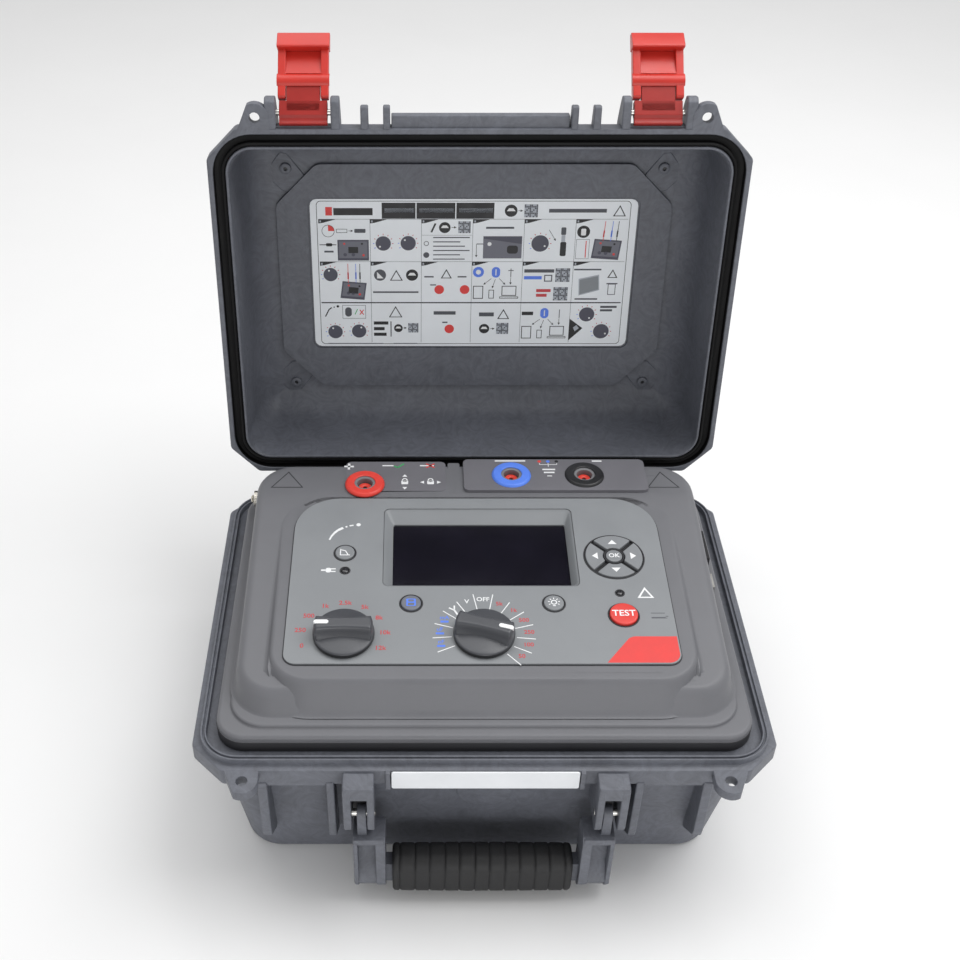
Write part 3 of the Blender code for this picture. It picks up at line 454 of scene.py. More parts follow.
def surface(name, colour, roughness, bump=0.0, vary=0.0, patch=18.0, grain=900.0,
            metallic=0.0, streak=0.0, coat=0.0, specular=0.5, rough_vary=0.06):
    """Moulded plastic, paint or metal: base colour with soft patches, grain in height and gloss."""
    made = bpy.data.materials.new(name)
    made.use_nodes = True
    tree = made.node_tree
    place = tree.nodes.new("ShaderNodeTexCoord").outputs["Object"]
    clouds = noise(tree, place, Scale=patch, Detail=6.0, Roughness=0.62, Distortion=1.4 if streak else 0.2)
    tint = ramp(tree, clouds, (0.32, [value * (1 - vary) for value in colour]),
                (0.68, [min(value * (1 + vary), 1) for value in colour]))
    if streak:
        flow = noise(tree, place, Scale=patch * 3.2, Detail=9.0, Roughness=0.7, Distortion=5.0)
        mix = tree.nodes.new("ShaderNodeMix")
        mix.data_type = "RGBA"
        mix.blend_type = "MULTIPLY"
        fill(tree, mix, Factor=1.0, A=tint, B=ramp(tree, flow, (0.36, [1 - streak] * 3), (0.62, (1, 1, 1))))
        tint = mix.outputs["Result"]
    gloss = tree.nodes.new("ShaderNodeMapRange")
    fill(tree, gloss, Value=clouds, From_Min=0.3, From_Max=0.7, To_Min=max(roughness - rough_vary, 0.02),
         To_Max=min(roughness + rough_vary, 1.0))
    fill(tree, tree.nodes["Principled BSDF"], Metallic=metallic, Coat_Weight=coat, Coat_Roughness=0.12,
         Specular_IOR_Level=specular, Base_Color=tint, Roughness=gloss.outputs["Result"])
    if bump:
        relief(tree, noise(tree, place, Scale=grain, Detail=3.0), bump, 0.0002)
    return made


def brushed(name, colour, roughness):
    """Turned or drawn steel with fine lines along X."""
    made = surface(name, colour, roughness, metallic=1.0, vary=0.08, patch=40)
    tree = made.node_tree
    stretch = tree.nodes.new("ShaderNodeMapping")
    fill(tree, stretch, Scale=(20, 1600, 1600), Vector=tree.nodes["Texture Coordinate"].outputs["Object"])
    relief(tree, noise(tree, stretch.outputs["Vector"], Scale=1.0), 0.25, 0.0001)
    return made


def paint_name(name, colour):
    """Screen-printed ink."""
    return surface(name, colour, 0.5, 0.1, 0.04, 120, 2400)


# name, colour, roughness, bump, variation, size of the patches, size of the grain
CASE = surface("case_plastic", (0.138, 0.146, 0.172), 0.50, 0.35, 0.10, 14, 1300, streak=0.26)
# near-black used as painted shade in gaps, rings and recesses (round keys, the overlay's edge, the tray's
# side, the clevises), and for the dark triangle marks on the wings
SHADE_AND_MARK_DARK = surface("painted_shade_and_mark_dark", (0.03, 0.03, 0.034), 0.6, 0.3, 0.1, 30)
PANEL = surface("panel_plastic", (0.148, 0.150, 0.163), 0.46, 0.45, 0.05, 22, 1900)
OVERLAY = surface("overlay_film", (0.238, 0.250, 0.263), 0.42, 0.3, 0.03, 30, 2600)
DECK = surface("deck_film", (0.150, 0.148, 0.165), 0.5, 0.4, 0.04, 30, 2200)
# black plastic, also used as painted shade: the sheet under the overlay film, and the discs in the screw
# bosses' holes and in the terminal shutters' holes
BLACK = surface("black_plastic", (0.014, 0.014, 0.016), 0.36, 0.2, 0.2, 50, 1800)
KNOB = surface("knob_plastic", (0.062, 0.065, 0.074), 0.34, 0.2, 0.05, 60, 2200)
KEY = surface("key_rubber", (0.225, 0.236, 0.249), 0.5, 0.3, 0.05, 60, 2200)
RUBBER = surface("grip_rubber", (0.012, 0.012, 0.013), 0.62, 0.6, 0.25, 35, 1500)
SEAL = surface("seal_rubber", (0.004, 0.004, 0.0045), 0.58, 0.2, 0.2, 60, 1200, specular=0.25)
RED = surface("latch_red", (0.56, 0.028, 0.018), 0.33, 0.15, 0.06, 45, 1500)
RED_DEEP = surface("link_red", (0.34, 0.014, 0.009), 0.36, 0.15, 0.08, 45, 1500)
RING_RED = surface("ring_red", (0.74, 0.05, 0.035), 0.4, 0.15, 0.05, 80, 1800)
RING_BLUE = surface("ring_blue", (0.10, 0.24, 0.86), 0.4, 0.15, 0.05, 80, 1800)
SHUTTER = surface("shutter_red", (0.78, 0.06, 0.04), 0.32, 0.1, 0.08, 120, 1800)
SLEEVE = surface("sleeve_grey", (0.20, 0.20, 0.21), 0.45, 0.2, 0.06, 80, 1800)
TEST_RED = surface("test_red", (0.72, 0.05, 0.04), 0.36, 0.15, 0.05, 90, 1800)
SAVE_BLUE = surface("save_key", (0.15, 0.16, 0.19), 0.45, 0.2, 0.05, 90, 1800)
WHITE = surface("white_plastic", (0.86, 0.87, 0.88), 0.32, 0.1, 0.03, 60, 1800)
PLATE = surface("plate_white", (0.80, 0.82, 0.85), 0.34, 0.12, 0.03, 40, 1500, coat=0.3)
LABEL = surface("label_film", (0.83, 0.865, 0.90), 0.36, 0.12, 0.03, 26, 1400, coat=0.25)
SCREEN = surface("screen_glass", (0.006, 0.005, 0.010), 0.09, vary=0.3, patch=24, coat=0.6, rough_vary=0.02)
LENS = surface("lens_dark", (0.02, 0.02, 0.024), 0.15, vary=0.2, patch=300, coat=0.5)
STEEL = brushed("pin_steel", (0.66, 0.65, 0.62), 0.24)
NICKEL = brushed("nickel", (0.70, 0.67, 0.60), 0.22)
BOARD = surface("board_green", (0.02, 0.12, 0.05), 0.4, 0.3, 0.15, 120, 700)
MODULE = surface("module_grey", (0.10, 0.10, 0.11), 0.5, 0.4, 0.12, 60, 900)
INK_WHITE = paint_name("ink_white", (0.84, 0.85, 0.86))
INK_BLACK = paint_name("ink_black", (0.012, 0.012, 0.014))
INK_RED = paint_name("ink_red", (0.74, 0.05, 0.045))
INK_DULL_RED = paint_name("ink_dull_red", (0.56, 0.05, 0.06))
INK_BLUE = paint_name("ink_blue", (0.10, 0.22, 0.82))
INK_GREEN = paint_name("ink_green", (0.04, 0.42, 0.12))
INK_GREY = paint_name("ink_grey", (0.09, 0.095, 0.11))
INK_PALE = paint_name("ink_pale", (0.42, 0.45, 0.50))
INK_GREY_PALE = paint_name("ink_grey_pale", (0.24, 0.26, 0.28))
INK_SLATE = paint_name("ink_slate", (0.075, 0.075, 0.105))
INK_STONE = paint_name("ink_stone", (0.16, 0.165, 0.20))
INK_TYPE = paint_name("ink_type", (0.075, 0.08, 0.095))


# ---------------------------------------------------------------- base
def padlock_lug(side, low, high):
    """The eye for a padlock beside a latch."""
    outline = [(side * x, y) for x, y in
               [(137.1, -127.8)] + arc((146.7, -137.0), 9.6, 180, 300, 12) + [(159.0, -127.8)]]
    hole = arc((side * 146.7, -137.2), 3.5, 0, 345, 23)
    return prism("lug", [outline, hole], low, high, 0.9, 3)


def base_rings():
    """The tub, its rim, the tongue and the mouth as one run of sections."""
    rings = []
    for i in range(6):
        angle = math.radians(90 * i / 5)
        inset = 5.0 * (1 - math.sin(angle))
        rings.append(at(centred(TUB_FOOT, TUB_CORNER, inset), 5.0 * (1 - math.cos(angle))))
    skirt_low = RIM_TOP - SKIRT
    for t in (0.25, 0.5, 0.75, 0.96):
        half = [foot + (top - foot) * t for foot, top in zip(TUB_FOOT, TUB_TOP)]
        rings.append(at(centred(half, TUB_CORNER), 5 + (skirt_low - 5) * t))
    rings.append(at(centred(TUB_TOP, TUB_CORNER, -0.6), skirt_low - 1.0))
    rings.append(at(centred(TUB_TOP, TUB_CORNER, -2.5), skirt_low))
    for inset, z in ((1.2, skirt_low), (0.35, skirt_low + 0.35), (0.0, skirt_low + 1.2), (0.0, RIM_TOP - 1.4),
                     (0.4, RIM_TOP - 0.4), (1.4, RIM_TOP)):
        rings.append(at(centred(RIM, 20, inset, cut_corner), z))
    tongue = ((3.9, 0.0), (4.5, 0.4), (4.6, 4.2), (4.9, 4.6), (5.7, 4.6), (6.0, 4.2), (6.1, 3.2),
              (6.9, 3.2), (7.0, 4.2), (7.3, 4.6), (8.1, 4.6), (8.4, 4.2), (8.5, 0.4), (9.1, 0.0))
    for inset, rise in tongue:
        rings.append(at(centred(RIM, 29.5, inset), RIM_TOP + rise))
    for inset, z in ((10.0, RIM_TOP), (10.6, RIM_TOP - 0.5), (11.0, RIM_TOP - 10)):
        rings.append(at(centred(TUB_TOP, TUB_CORNER, inset), z))
    rings.append(at(centred(TUB_TOP, TUB_CORNER, 4.5), RIM_TOP - 13))
    rings.append(at(centred(TUB_FOOT, TUB_CORNER, 6.0), 4.0))
    return rings


def fin(side, low, high):
    """An upright fin on the front of the base."""
    profile = [(-112.0, 103.0), (-130.7, 103.0), (-130.7, 55.0), (-129.4, 49.0), (-110.0, 30.0),
               (-100.0, 30.0), (-100.0, 103.0)]
    return slab("fin", span(side, low, high), profile, 0.9)


def clevis(side):
    """Two plates and a top block that hold one handle arm, and a near-black block between the plates as
    painted shade behind the arm.
    """
    plate = [(-108.0, 112.0), (-141.0, 112.0), (-143.0, 110.0), (-143.0, 74.0), (-141.0, 70.4),
             (-136.0, 69.6),
             (-106.0, 69.6)]
    made = [slab("clevis", span(side, low, high), plate, 0.9) for low, high in ((67.5, 72.0), (81.5, 86.5))]
    made.append(block("clevis_top", span(side, 67.8, 86.2), (-142.8, -110.0), (101.0, 111.9), 0.9, 3))
    # painted shade: a near-black block fills the gap behind the arm
    return made + [(block("clevis_back_shade", span(side, 70.0, 83.0), (-121.0, -108.0), (66.0, 104.0), 0.5),
                    SHADE_AND_MARK_DARK)]


def knuckle(side, low, high, lid=False):
    """One hinge knuckle with the arm that carries it."""
    reach = 90 if lid else 100
    outline = [(HINGE.y + y, HINGE.z + z) for y, z in arc((0, 0), 6.0, -reach, reach, 14)]
    if lid:
        outline += [(136.0, 127.0), (128.8, 127.0), (128.8, RIM_TOP + 3.0), (134.0, RIM_TOP + 3.0)]
    else:
        outline += [(134.6, 113.2), (118.0, 113.2), (118.0, 102.6), (136.5, 104.0)]
    return slab("knuckle", span(side, low, high), outline, 0.5, 2)


def build_base():
    """The lower case with its lugs, fins, catches, handle brackets, knuckles and plate seat."""
    parts = [skin("tub", base_rings())]
    for side in (1, -1):
        parts.append(padlock_lug(side, RIM_TOP - 7, RIM_TOP - 0.2))
        parts += [fin(side, 92.0, 97.0), fin(side, 133.0, 139.0)]
        catch = [(-112.0, 97.0), (-112.0, 102.0), (-129.6, 102.0), (-129.6, 99.4), (-126.0, 97.6)]
        parts.append(slab("catch", span(side, 97.0, 133.0), catch, 0.6))
        parts += clevis(side)
        parts += [knuckle(side, 95.0, 104.7), knuckle(side, 125.3, 135.0)]
    seat = [(-112.0, 112.4), (-130.0, 112.4), (-130.0, 98.4), (-127.0, 97.0), (-112.0, 94.0)]
    parts.append(slab("plate_seat", (-60.0, 60.0), seat, 0.5))
    for side in (1, -1):
        parts.append(block("seat_end", span(side, 57.6, 60.6), (-132.0, -126.0), (98.4, RIM_TOP - 0.3), 0.5))
    disc = lathe("disc", [(0, 1.7), (16.4, 1.7), (17.3, 1.3), (17.6, 0), (17.6, -4), (0, -4)], 64)
    slope = math.atan2(TUB_TOP[1] - TUB_FOOT[1], RIM_TOP - SKIRT)
    disc.data.transform(Matrix.Translation((1.0 * MM, -114.0 * MM, 76.0 * MM)) @
                        Matrix.Rotation(math.radians(90) + slope, 4, "X"))
    parts.append(disc)
    parts = [part if isinstance(part, tuple) else (part, CASE) for part in parts]
    assemble("base_case", parts, "base", ["base_shell"])


# ---------------------------------------------------------------- lid
def lid_rings():
    """The lid's wall from its roof down the outside, over the groove and up the inside."""
    rings = []
    walls = ((170.0, 120.0), 27.0)
    outside = ((30.0, 194.0), (22.0, 193.6), (17.0, 192.4), (12.5, 190.2), (9.2, 187.0), (7.0, 183.0),
               (5.6, 178.0),
               (3.8, 168.0), (2.4, 150.0), (1.0, 133.0), (0.2, 128.6), (-1.4, 127.2), (-3.0, RIM_TOP + SKIRT))
    for inset, z in outside:
        rings.append(at(centred(walls[0], walls[1] + (6 if inset > 9 else 0), inset), z))
    for inset, z in ((1.3, RIM_TOP + SKIRT), (0.35, RIM_TOP + SKIRT - 0.4), (0.0, RIM_TOP + SKIRT - 1.4),
                     (0.0, LID_LOW + 1.2), (0.35, LID_LOW + 0.35), (1.2, LID_LOW)):
        rings.append(at(centred(RIM, 20, inset, cut_corner), z))
    for inset, z in ((3.2, LID_LOW), (3.6, LID_LOW + 0.4), (3.7, RIM_TOP + 8.3), (11.8, RIM_TOP + 8.3),
                     (11.9, LID_LOW + 0.6),
                     (12.3, LID_LOW + 0.1), (13.2, LID_LOW), (13.7, LID_LOW + 0.5)):
        rings.append(at(centred(RIM, 30.5, inset), z))
    inside = ((13.9, 118.0), (14.8, 134.0), (15.8, 150.0), (17.0, 160.0), (19.0, 167.0), (22.0, 172.4),
              (26.0, 176.2), (30.6, 178.8), (36.0, 180.4), (42.0, 181.0), (50.0, LID_FLOOR))
    for inset, z in inside:
        rings.append(at(centred(RIM, 33, inset), z))
    return rings


def bridge_corner(x, y, sx, sy):
    """A raised pad with a screw boss in a corner of the lid's floor."""
    pad = [(x + sx * u, y + sy * v) for u, v in ((-16, 4), (-13, 7.5), (-3, 17), (2, 18), (12, 9), (13, 5),
                                                 (1, -11), (-4, -11.5))]
    top = LID_FLOOR - 1.1
    made = [(prism("pad", [pad], top, LID_FLOOR + 2, 0.9, 4), CASE)]
    tip = lathe("boss", [(1.3, top - 0.6), (1.4, top - 2.2), (1.7, top - 2.4), (3.3, top - 2.4),
                         (3.9, top - 2.0), (4.2, top + 1.0)],
                32, (x, y, 0))
    # painted shade: a black disc low in the boss's hole
    hole = lathe("boss_hole_shade", [(0, top - 0.7), (1.4, top - 0.7)], 24, (x, y, 0))
    return made + [(tip, CASE), (hole, BLACK)]


def label_platform():
    """The floor's raised octagon, with the shallow pocket that holds the label."""
    outer = loop((-143, 143), (-86, 90), 30, shape=lambda x, y, s: cut_corner(x, y, s, 10.0))
    inner = grown((-LABEL_HALF, LABEL_HALF), LABEL_Y, 1.4, 6.0)
    face = prism("platform", [outer, inner], LABEL_FACE - 0.6, LID_SKIN, 2.2, 5)
    floor = prism("pocket", [loop((-122, 122), (-64, 60), 6.0)], LABEL_FACE + 0.7, LID_SKIN)
    return [(face, CASE), (floor, CASE)]


def build_lid():
    """The lid's wall with its ears, tabs, lugs, knuckles, pads and label platform."""
    parts = [(skin("lid_wall", lid_rings()), CASE)]
    edge = RIM_TOP + SKIRT - 0.6
    ear = [(-129.3, LID_LOW + 0.2), (-147.0, LID_LOW + 0.6), (-150.0, LID_LOW + 4), (-149.2, 124.0),
           (-144.0, 128.0), (-130.0, 136.5),
           (-116.0, 138.0), (-116.0, edge), (-129.3, edge)]
    tab = [(-129.3, LID_LOW + 0.2), (-143.5, LID_LOW + 0.2), (-145.0, LID_LOW + 2), (-144.0, 121.5),
           (-129.3, 126.5)]
    for side in (1, -1):
        for a, b in ((91.5, 97.3), (133.0, 140.0)):
            parts.append((slab("ear", span(side, a, b), ear, 1.1), CASE))
        for a, b in ((58.8, 63.3), (73.0, 78.0)):
            parts.append((slab("tab", span(side, a, b), tab, 0.9), CASE))
        parts.append((padlock_lug(side, LID_LOW + 0.1, RIM_TOP + 7), CASE))
        parts.append((knuckle(side, 105.0, 125.0, lid=True), CASE))
        for y, sy in ((-82.6, 1), (87.5, -1)):
            parts += bridge_corner(side * 134.7, y, -side, sy)
        rib = [(-129.4, LID_LOW + 3), (-131.2, LID_LOW + 3), (-131.2, 124.0), (-129.4, 126.0)]
        parts.append((slab("rib", span(side, 97.0, 133.2), rib, 0.6), CASE))
    strip = [(-129.3, 117.4), (-137.4, 117.4), (-138.0, 118.2), (-138.0, 124.0), (-136.0, 125.4),
             (-129.3, 126.4)]
    parts.append((slab("strip", (-58.0, 58.0), strip, 0.6), CASE))
    parts += label_platform()
    for x0, x1 in ((-150.0, -147.2), (147.2, 150.0)):
        parts.append((prism("side_rib", [loop((x0, x1), (-60, 62), 1.3)], LID_FLOOR - 0.5, LID_SKIN, 0.5, 3),
                      CASE))
    assemble("lid_case", parts, "lid", ["lid_shell"], SWING)


def build_seal():
    """A gasket that lines the lid's groove and takes the base's tongue."""
    low = RIM_TOP + 0.9
    bed = RIM_TOP + 5.2
    top = RIM_TOP + 8.1
    profile = ((3.8, low), (4.1, low - 0.1), (4.25, low + 0.3), (4.3, bed), (5.2, bed + 0.25),
               (6.4, bed + 0.5), (7.6, bed + 0.25),
               (8.8, bed), (8.95, low + 0.9), (9.5, low + 0.1), (10.4, low - 0.3), (11.2, low + 0.1), (11.7,
                       low + 1.0),
               (11.7, top), (3.8, top))
    rings = [at(centred(RIM, 30, inset), z) for inset, z in profile]
    item = skin("seal", rings + [rings[0]], False, False)
    assemble("lid_gasket", [(item, SEAL)], "lid", ["lid_seal"], SWING, angle=50)


# ---------------------------------------------------------------- instrument panel
WALL_TOP_Y, WALL_TOP_Z, WALL_LEAN = -88.9, 149.9, 0.62


def wall_y(z):
    """The panel's front wall, which leans back as it rises."""
    return WALL_TOP_Y - (WALL_TOP_Z - z) * WALL_LEAN


def plateau(name, x_range, y_range, radii, foot, top, edge, flare=0.0, draft=0.0, cuts=24, wall=None,
            solid=False):
    """A raised step whose foot and top heights may change with depth.

    edge rounds its upper rim, flare spreads its foot into what it stands on, draft leans its walls,
    and wall gives the depth of its front at each height.
    """
    x0, x1 = x_range
    y0, y1 = y_range
    back, front = radii

    def ring(inset, height):
        ahead = y0 + inset if wall is None else wall(height(y0)) + inset * 0.5
        points = loop((x0 + inset, x1 - inset), (ahead, y1 - inset), max(back - inset, 1.0),
                      max(front - inset, 1.0), cuts=cuts)
        return [(x, y, height(y)) for x, y in points]

    rings = []
    steps = 6
    if flare:
        for i in range(steps + 1):
            angle = math.radians(90 * i / steps)
            spread = flare * (1 - math.sin(angle))

            def rise(y, a=angle):
                return foot(y) + min(flare, (top(y) - foot(y)) * 0.45) * (1 - math.cos(a)) - 0.02
            rings.append(ring(-spread, rise))
    else:
        rings.append(ring(0.0, foot))
    for i in range(steps + 1):
        angle = math.radians(90 * i / steps)

        def crown(y, a=angle):
            return top(y) - min(edge, (top(y) - foot(y)) * 0.5) * (1 - math.sin(a))
        rings.append(ring(draft + edge * (1 - math.cos(angle)), crown))
    for inset in (edge + draft + 2.0, edge + draft + 8.0):
        rings.append(ring(inset, top))
    item = skin(name, rings, closed_low=solid, closed_high=False)
    close_across(item, rings[-1])
    return item


def pedestal_foot(y):
    """The pedestal stands on the wings, and its front runs on down to the step."""
    t = min(max((-79.0 - y) / 9.0, 0.0), 1.0)
    t = t * t * (3 - 2 * t)
    return (wing_z(y) - 0.1) * (1 - t) + 130.2 * t


def close_across(item, ring):
    """Fills a symmetric ring with strips between its left and right points, so that it can slope."""
    work = bmesh.new()
    work.from_mesh(item.data)
    work.verts.ensure_lookup_table()
    last = work.verts[len(work.verts) - len(ring):]
    middle = sum(point[0] for point in ring) / len(ring)
    right = sorted((v for v in last if v.co.x / MM > middle), key=lambda v: -v.co.y)
    left = sorted((v for v in last if v.co.x / MM <= middle), key=lambda v: -v.co.y)
    for a, b, c, d in zip(right, right[1:], left[1:], left):
        work.faces.new((a, d, c, b))
    bmesh.ops.recalc_face_normals(work, faces=work.faces)
    work.to_mesh(item.data)
    work.free()


TRAY_TOP, STEP_TOP = 127.0, 129.6


def build_panel():
    """The grey moulding: tray, step, body, pedestal, screen well and terminal deck."""
    tray = plateau("tray", (-165, 165), (-115, 115), (18, 18), lambda y: LID_LOW, lambda y: TRAY_TOP, 2.6,
                   cuts=3)
    step = plateau("step", (-157, 157), (-108, 113), (22, 22), lambda y: TRAY_TOP - 0.1, lambda y: STEP_TOP,
                   1.8, flare=1.6, cuts=3)
    body = plateau("body", (-156, 156), (-93, 112.0), (28, 26), lambda y: 129.4, wing_z, 6.5, flare=2.5,
                   draft=1.6, cuts=40,
                   wall=lambda z: wall_y(z) + 0.35, solid=True)
    pedestal = plateau("pedestal", (-134, 134), (WALL_TOP_Y, 76), (34, 26), pedestal_foot,
                       lambda y: max(control_z(y) - 1.3,
                                     wing_z(y)), 3.2, flare=4.0, draft=0.4, cuts=40, wall=wall_y)
    # painted shade: a near-black ring on the tray's side just above the rim, for the gap between the tray and
    # the base's rim
    tray_side_shade = prism("tray_side_shade", [loop((-165.3, 165.3), (-115.3, 115.3), 18.3), loop((-164, 164), (-114, 114), 17)],
                 RIM_TOP + 0.4,
                 RIM_TOP + 8.0, 0.3)
    under = plateau("under", (-150, 150), (-86, 100), (18, 18), lambda y: 124.0, lambda y: 127.5, 1.0, cuts=3)
    spots = []
    for word in ("red", "blue", "black"):
        near, far = low_high("terminal_collar_" + word)
        spots.append(((near.x + far.x) / 2, (near.y + far.y) / 2))
        x, y = spots[-1]
        cut(body, lathe("terminal_hole", [(0, 6.0), (TERMINAL_HOLE, 6.0), (TERMINAL_HOLE, -22.0),
                                          (0, -22.0)], 48, (x, y, DECK_TOP)))
    for item in (body, pedestal):
        opening = prism("opening", [loop(RECESS_X, RECESS_Y, 4.0)], -60, 20)
        opening.data.transform(PLANE)
        cut(item, opening)
    parts = [(item, PANEL) for item in (tray, step, body, pedestal, under)] + [(tray_side_shade, SHADE_AND_MARK_DARK)]
    rings = []
    for radius, inset, depth in ((4.0, 0.0, -0.35), (3.4, 0.7, -0.8), (3.0, 1.6, -1.6)):
        rings.append(at(grown(RECESS_X, RECESS_Y, -inset, radius), depth))
    rings += [at(loop(WINDOW_X, WINDOW_Y, 1.6), depth) for depth in (-RECESS_DEPTH, -RECESS_DEPTH - 1.2)]
    well = skin("well", list(reversed(rings)), False, False)
    well.data.transform(PLANE)
    parts.append((well, OVERLAY))
    for x0, x1, y0, y1, rise in ((-92.0, -20.5, 78.5, 111.6, 0.25), (-8.0, 122.0, 77.0, 111.8, BLOCK_RISE)):
        holes = [arc(spot, TERMINAL_HOLE, 0, 352, 44) for spot in spots if x0 < spot[0] < x1]
        plate = prism("deck_plate", [loop((x0, x1), (y0, y1), 4.0)] + holes, DECK_TOP - 1, DECK_TOP + rise,
                      min(rise * 0.8, 0.7), 3)
        parts.append((plate, DECK))
    groove = prism("deck_groove", [loop((-19.0, -10.5), (77.0, 110.2), 1.5)], DECK_TOP - 0.2, DECK_TOP + 0.05)
    parts.append((groove, PANEL))
    assemble("panel_moulding", parts, "base", ["instrument_panel"], angle=45)
    for side in (1, -1):
        outlines = [[(side * 133.0 + x, 91.0 + y) for x, y in ((-half, low), (half, low), (0, high))]
                    for half, low, high in ((11.5, -8.5, 9.5), (10.3, -7.8, 8.2))]
        mark = prism("wing_mark", outlines, DECK_TOP - 0.2, DECK_TOP + 0.12)
        assemble("wing_triangle_" + ("right" if side > 0 else "left"), [(mark, SHADE_AND_MARK_DARK)], "base", [])


ROUND_KEYS = {"button_test_press": 9.0, "button_save_press": 6.5, "button_backlight_press": 6.5,
              "button_ramp_press": 6.5}
NAV = on_plane("key_ok_press")
LEDS = ((-88.8, 1.0, 2.5), (90.2, -19.0, 2.2))
PRINT = 0.06                 # thickness of printed ink
KEY_TOP, KEY_FOOT = 1.2, -6.1
LETTER_SCALE, LETTER_BOLD = 1.38, 0.022


def build_overlay():
    """The printed film with its cut-outs, a black sheet under it as painted shade seen through the cut-outs,
    and a dark band round its edge as painted shade of the gap there.
    """
    holes = [grown(RECESS_X, RECESS_Y, 0.4, 4.2)]
    holes += [arc(on_plane(joint), 6.0, 0, 350, 35) for joint in ("knob_turn_left", "knob_turn_right")]
    holes += [arc(on_plane(joint), radius + 0.75, 0, 352, 44) for joint, radius in ROUND_KEYS.items()]
    holes.append(arc(NAV, 19.9, 0, 354, 59))
    holes += [arc((x, y), radius + 0.3, 0, 345, 23) for x, y, radius in LEDS]
    outline = loop(OVERLAY_X, OVERLAY_Y, 30, 8)
    plate = prism("film", [outline] + holes, -1.0, 0.0, 0.35, 3)
    # painted shade: a black sheet under the film, seen through its cut-outs
    shadow = prism("shadow", [grown(OVERLAY_X, OVERLAY_Y, -3, 27, 5), grown(RECESS_X, RECESS_Y, 1, 4.0)],
                   -1.28, -1.1)
    # painted shade: a dark band just outside the film's edge, for the gap between film and pedestal
    line = prism("edge_shade_line", [grown(OVERLAY_X, OVERLAY_Y, 0.7, 30.7, 8.7),
                               grown(OVERLAY_X, OVERLAY_Y, -0.5, 29.5, 7.5)],
                 -1.29, -1.0)
    assemble("control_overlay", [(plate, OVERLAY), (shadow, BLACK), (line, SHADE_AND_MARK_DARK)], "base",
             ["panel_overlay"],
             PLANE)


def printed(name, pieces, low=0.0, matrix=PLANE, body="base"):
    """Ink on a surface: pieces is a list of (outlines, material)."""
    parts = [(prism("ink", outlines, low, low + PRINT), material) for outlines, material in pieces]
    return assemble(name, parts, body, [], matrix)


def polar(centre, degrees, radius, high=None):
    """A point round a centre, on an ellipse where high is given."""
    turn = math.radians(degrees)
    high = radius if high is None else high
    return centre[0] + radius * math.cos(turn), centre[1] + high * math.sin(turn)


def bar(start, end, width):
    """A straight stroke between two points."""
    a, b = Vector(start), Vector(end)
    across = Vector((-(b - a).y, (b - a).x)).normalized() * width / 2
    return [tuple(a + across), tuple(b + across), tuple(b - across), tuple(a - across)][::-1]


def strokes(ink, *rows):
    """Printed lines of one ink, each row x, y, x, y and width."""
    return [([bar((x0, y0), (x1, y1), width)], ink) for x0, y0, x1, y1, width in rows]


def ring_outline(centre, outer, inner, sides=32):
    """A ring as an outline and its hole."""
    end = 360 - 360 / sides
    return [arc(centre, outer, 0, end, sides - 1), arc(centre, inner, 0, end, sides - 1)]


def spoke(centre, angle, inner, outer, width):
    """A stroke that points away from a centre."""
    return bar(polar(centre, angle, inner), polar(centre, angle, outer), width)


def words(name, text, centre, height, material, low=0.0, matrix=PLANE, body="base"):
    """Plain lettering laid flat on a surface."""
    curve = bpy.data.curves.new(name, "FONT")
    curve.body = text
    curve.size = height * MM * LETTER_SCALE
    curve.align_x = "CENTER"
    curve.align_y = "CENTER"
    curve.extrude = PRINT / 2 * MM
    curve.offset = height * MM * LETTER_BOLD
    curve.resolution_u = 3
    drawn = new_object(name, curve)
    mesh = evaluated(drawn)
    bpy.data.objects.remove(drawn, do_unlink=True)
    place = Matrix.Translation((centre[0] * MM, centre[1] * MM, (low + PRINT / 2) * MM))
    mesh.transform(matrix @ place)
    piece = new_object(name, mesh)
    piece.data.materials.append(material)
    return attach(piece, body)


def dial_marks():
    """Marks and plain numbers round the two switches."""
    centre = Vector(on_plane("knob_turn_left")) + Vector((-1.0, 0.8))
    for i, text in enumerate(("0", "250", "500", "1k", "2.5k", "5k", "8k", "10k", "12k")):
        words("left_number_%d" % i, text, polar(centre, 201.5 - i * 28.4, 26.8, 26.2), 3.5, INK_DULL_RED)
    centre = on_plane("knob_turn_right")
    step = 21.1
    printed("right_dial_lines",
            [([spoke(centre, -48 + step * i, 20.5, 35.0 if i in (6, 7) else 32.5, 0.62)], INK_WHITE)
                                 for i in range(13)])
    for i, text in enumerate(("50", "100", "250", "500", "1k", "5k")):
        words("right_number_%d" % i, text, polar(centre, -37.4 + step * i, 28.6, 28.2), 3.2, INK_DULL_RED)
    for i, text in enumerate(("OFF", "V")):
        words("right_word_%d" % i, text, polar(centre, 89.3 + step * i, 29.0, 30.0), 3.5, INK_WHITE)
    probe = Vector(polar(centre, 131.5, 27.5))
    reach = Vector((-0.48, 0.88))
    across = Vector((0.88, 0.48))
    fork = strokes(INK_WHITE, (*(probe - reach * 5.2), *(probe + reach * 0.4), 1.2),
                   *[(*(probe + reach * 0.2), *(probe + reach * 3.6 + across * offset), 1.0)
                     for offset in (2.0, -2.0)])
    printed("probe_mark", fork)
    for i, text in enumerate(("mA", "uF", "nF")):
        x, y = Vector(polar(centre, 152.0 + step * i, 28.0))
        words("blue_word_%d" % i, text, (x, y + 1.3), 3.0, INK_BLUE)
        printed("blue_bar_%d" % i, strokes(INK_BLUE, (x - 2.6, y - 2.0, x + 2.6, y - 2.0, 1.7)))


